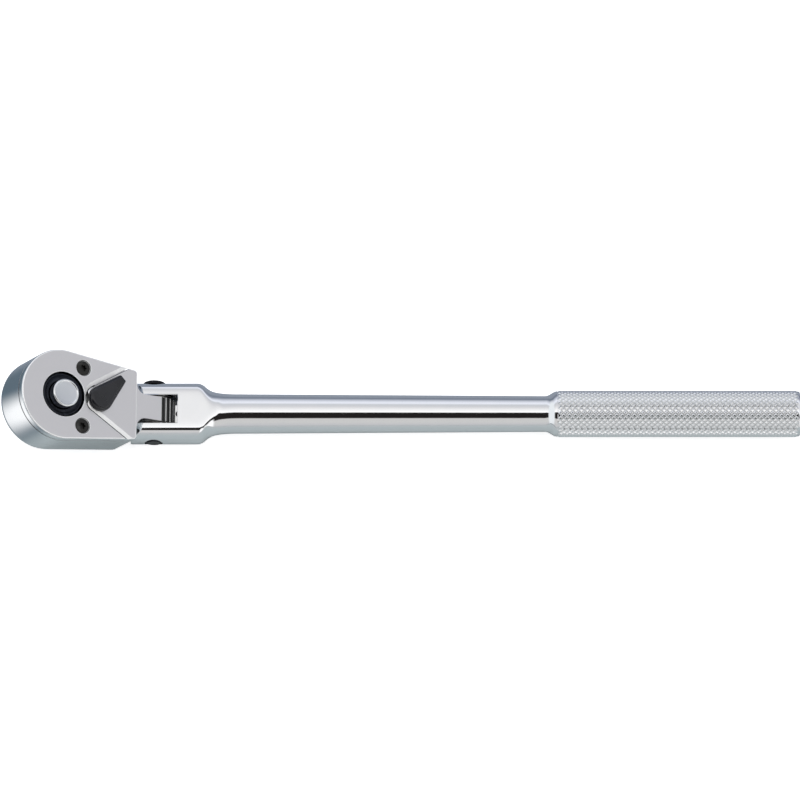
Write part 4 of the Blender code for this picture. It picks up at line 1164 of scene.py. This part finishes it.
# ---- studio ----
FLOOR_SIZE = 3.0
CAMERA_TILT = math.radians(15.7)     # back from straight down
CAMERA_DISTANCE = 1.7
PICTURE_WIDTH = 0.268
LOOK_AT = Vector((-0.00080, 0.0045, 0.0091))
CARD_CENTRE = (-0.188, -0.026, 0.0)  # a glowing white card painted on the floor off the head's tip, shining only in reflections and bounced light
CARD_EDGE = (0.012, 0.050)           # where it starts and ends fading into the floor
CARD_STRENGTH = 1.15
GREY_CARD = Vector((0.83, 0.26, 0.49)).normalized()      # the way to the card the face reflects
GREY_CARD_EDGE = (0.85, 0.92)
LAMP_SIZE = 0.6
LAMP_POWER = 2.0
LAMP_PLACE = (-0.1, 0.15, 0.9)
LAMP_TILT = math.radians(-10)
BACKDROP = (0.96, 0.96, 0.96, 1.0)
BRIGHT = (1.15, 1.15, 1.15)
BLACK = (0.016, 0.014, 0.014)
TENT = (                             # 0 at the far horizon, 0.5 overhead, 1 at the near horizon
    (0.01, (0.26, 0.29, 0.35)),
    (0.10, (0.67, 0.70, 0.78)),
    (0.186, (0.93, 0.96, 1.04)),
    (0.263, (0.64, 0.66, 0.69)),
    (0.334, (0.72, 0.72, 0.74)),
    (0.403, (0.90, 0.90, 0.90)),
    (0.47, (1.06, 1.06, 1.06)),
    (0.529, (1.20, 1.20, 1.20)),
    (0.537, BLACK),
    (0.718, BLACK),
    (0.739, (0.66, 0.65, 0.64)),
    (0.87, (0.65, 0.65, 0.64)),
    (0.94, (0.60, 0.60, 0.61)),
    (1.00, (0.55, 0.57, 0.58)),
)


def painted_floor_reflection(nodes, place):
    """What the chrome sees of the floor, painted: paler on the near side, painted shade off the
    tip, one glowing painted card.
    """
    x, y, _ = axes(place)
    # painted shade: the floor as reflected is grey, a little darker close to the tool on the near
    # side, darker on the far side and darkest off the tip
    near_side = blend_colours(between(-y, 0.015, 0.12), (0.55, 0.61, 0.62), (0.60, 0.63, 0.63))
    far_side = blend_colours(between(y, 0.015, 0.10), (0.36, 0.40, 0.46), (0.25, 0.28, 0.34))
    tint = blend_colours(between(y, -0.012, 0.015), near_side, far_side)
    tint = blend_colours(between(-x, 0.120, 0.155), tint, (0.15, 0.20, 0.24))
    bare = nodes.add("ShaderNodeBsdfDiffuse", None, tint)
    # painted glow: a white patch on the floor that shines in reflections and bounced light, never
    # to the camera
    card = nodes.add("ShaderNodeEmission", None, (1.0, 1.0, 1.0, 1.0), CARD_STRENGTH)
    from_card = vectors("DISTANCE", place, CARD_CENTRE)
    return nodes.add("ShaderNodeMixShader", None, between(from_card, *CARD_EDGE), card, bare)


def make_floor():
    """A plain white floor to the camera; in the chrome it shows a painted reflection of softly
    tinted grey, with painted shade and a glowing card.
    """
    level = cad_box[0].z
    half = FLOOR_SIZE / 2
    shape = bmesh.new()
    corners = [shape.verts.new((x, y, level)) for x, y in
               ((-half, -half), (half, -half), (half, half), (-half, half))]
    shape.faces.new(corners)
    floor = item_from("studio_floor", shape)
    material, nodes = new_finish("pale_floor")
    reflected = painted_floor_reflection(nodes, coordinate(nodes, "Object"))
    mottle = blend_colours(grain(nodes, 0.05), (0.90, 0.90, 0.90), (0.93, 0.93, 0.93))
    seen = nodes.add("ShaderNodeBsdfPrincipled",
                     sockets={"Base Color": mottle, "Roughness": 0.8,
                              "Emission Color": (1, 1, 1, 1), "Emission Strength": 0.70})
    direct = nodes.add("ShaderNodeLightPath", output="Is Camera Ray")
    shader = nodes.add("ShaderNodeMixShader", None, direct, reflected, seen)
    nodes.add("ShaderNodeOutputMaterial", sockets={"Surface": shader})
    floor.data.materials.append(material)


def make_surround():
    """A light tent all round, with a black card along it and a grey card past the grip."""
    world = bpy.data.worlds.new("light_tent")
    bpy.context.scene.world = world
    world.use_nodes = True
    nodes = Nodes(world.node_tree)
    place = coordinate(nodes, "Generated")
    x, y, z = axes(place)
    lean = y.maths("ARCTAN2", -y, z) / math.pi + 0.5
    drift = x.maths("MAXIMUM", x, 0.0) * 0.16
    sky = nodes.add("ShaderNodeValToRGB", {"stops": TENT}, lean - drift)
    handle_side = between(x, 0.80, 0.92) * (1 - between(y, 0.45, 0.70))
    low_side = between(x, 0.35, 0.55) * between(-y, 0.48, 0.60)
    tip_side = between(-x, 0.62, 0.80)
    grey_card = between(vectors("DOT_PRODUCT", place, tuple(GREY_CARD)), *GREY_CARD_EDGE)
    sky = blend_colours(handle_side, sky, BRIGHT)
    sky = blend_colours(low_side, sky, BRIGHT)
    sky = blend_colours(tip_side, sky, (0.90, 0.94, 0.96))
    sky = blend_colours(grey_card, sky, (0.65, 0.665, 0.68))
    direct = nodes.add("ShaderNodeLightPath", output="Is Camera Ray")
    lit = nodes.add("ShaderNodeBackground", None, sky, 1.0)
    seen = nodes.add("ShaderNodeBackground", None, BACKDROP, 1.0)
    shader = nodes.add("ShaderNodeMixShader", None, direct, lit, seen)
    nodes.add("ShaderNodeOutputWorld", sockets={"Surface": shader})
    bpy.context.scene.view_settings.view_transform = "Standard"


def make_lamp():
    """One wide soft lamp overhead."""
    light = bpy.data.lights.new("overhead_softbox", "AREA")
    light.size = LAMP_SIZE
    light.energy = LAMP_POWER
    lamp = bpy.data.objects.new("overhead_softbox", light)
    bpy.context.scene.collection.objects.link(lamp)
    lamp.location = LAMP_PLACE
    lamp.rotation_euler = (LAMP_TILT, 0, 0)
    lamp.visible_glossy = False


def make_camera():
    """A long-lens camera on the near side, a little back from straight down."""
    camera = bpy.data.cameras.new("camera")
    camera.sensor_width = 36.0
    camera.lens = camera.sensor_width * CAMERA_DISTANCE / PICTURE_WIDTH
    camera.clip_start = 0.01
    viewer = bpy.data.objects.new("camera", camera)
    bpy.context.scene.collection.objects.link(viewer)
    viewer.rotation_euler = (CAMERA_TILT, 0, 0)
    back = Vector((0, -math.sin(CAMERA_TILT), math.cos(CAMERA_TILT)))
    viewer.location = LOOK_AT + CAMERA_DISTANCE * back
    bpy.context.scene.camera = viewer


make_head_shell()
make_cover()
make_cover_screws()
make_anvil()
make_gear_teeth()
make_release_button()
make_drive_ball()
make_lever()
make_flex_bolt()
make_handle()
make_knurl()
dress_inner_pieces()
make_floor()
make_surround()
make_lamp()
make_camera()
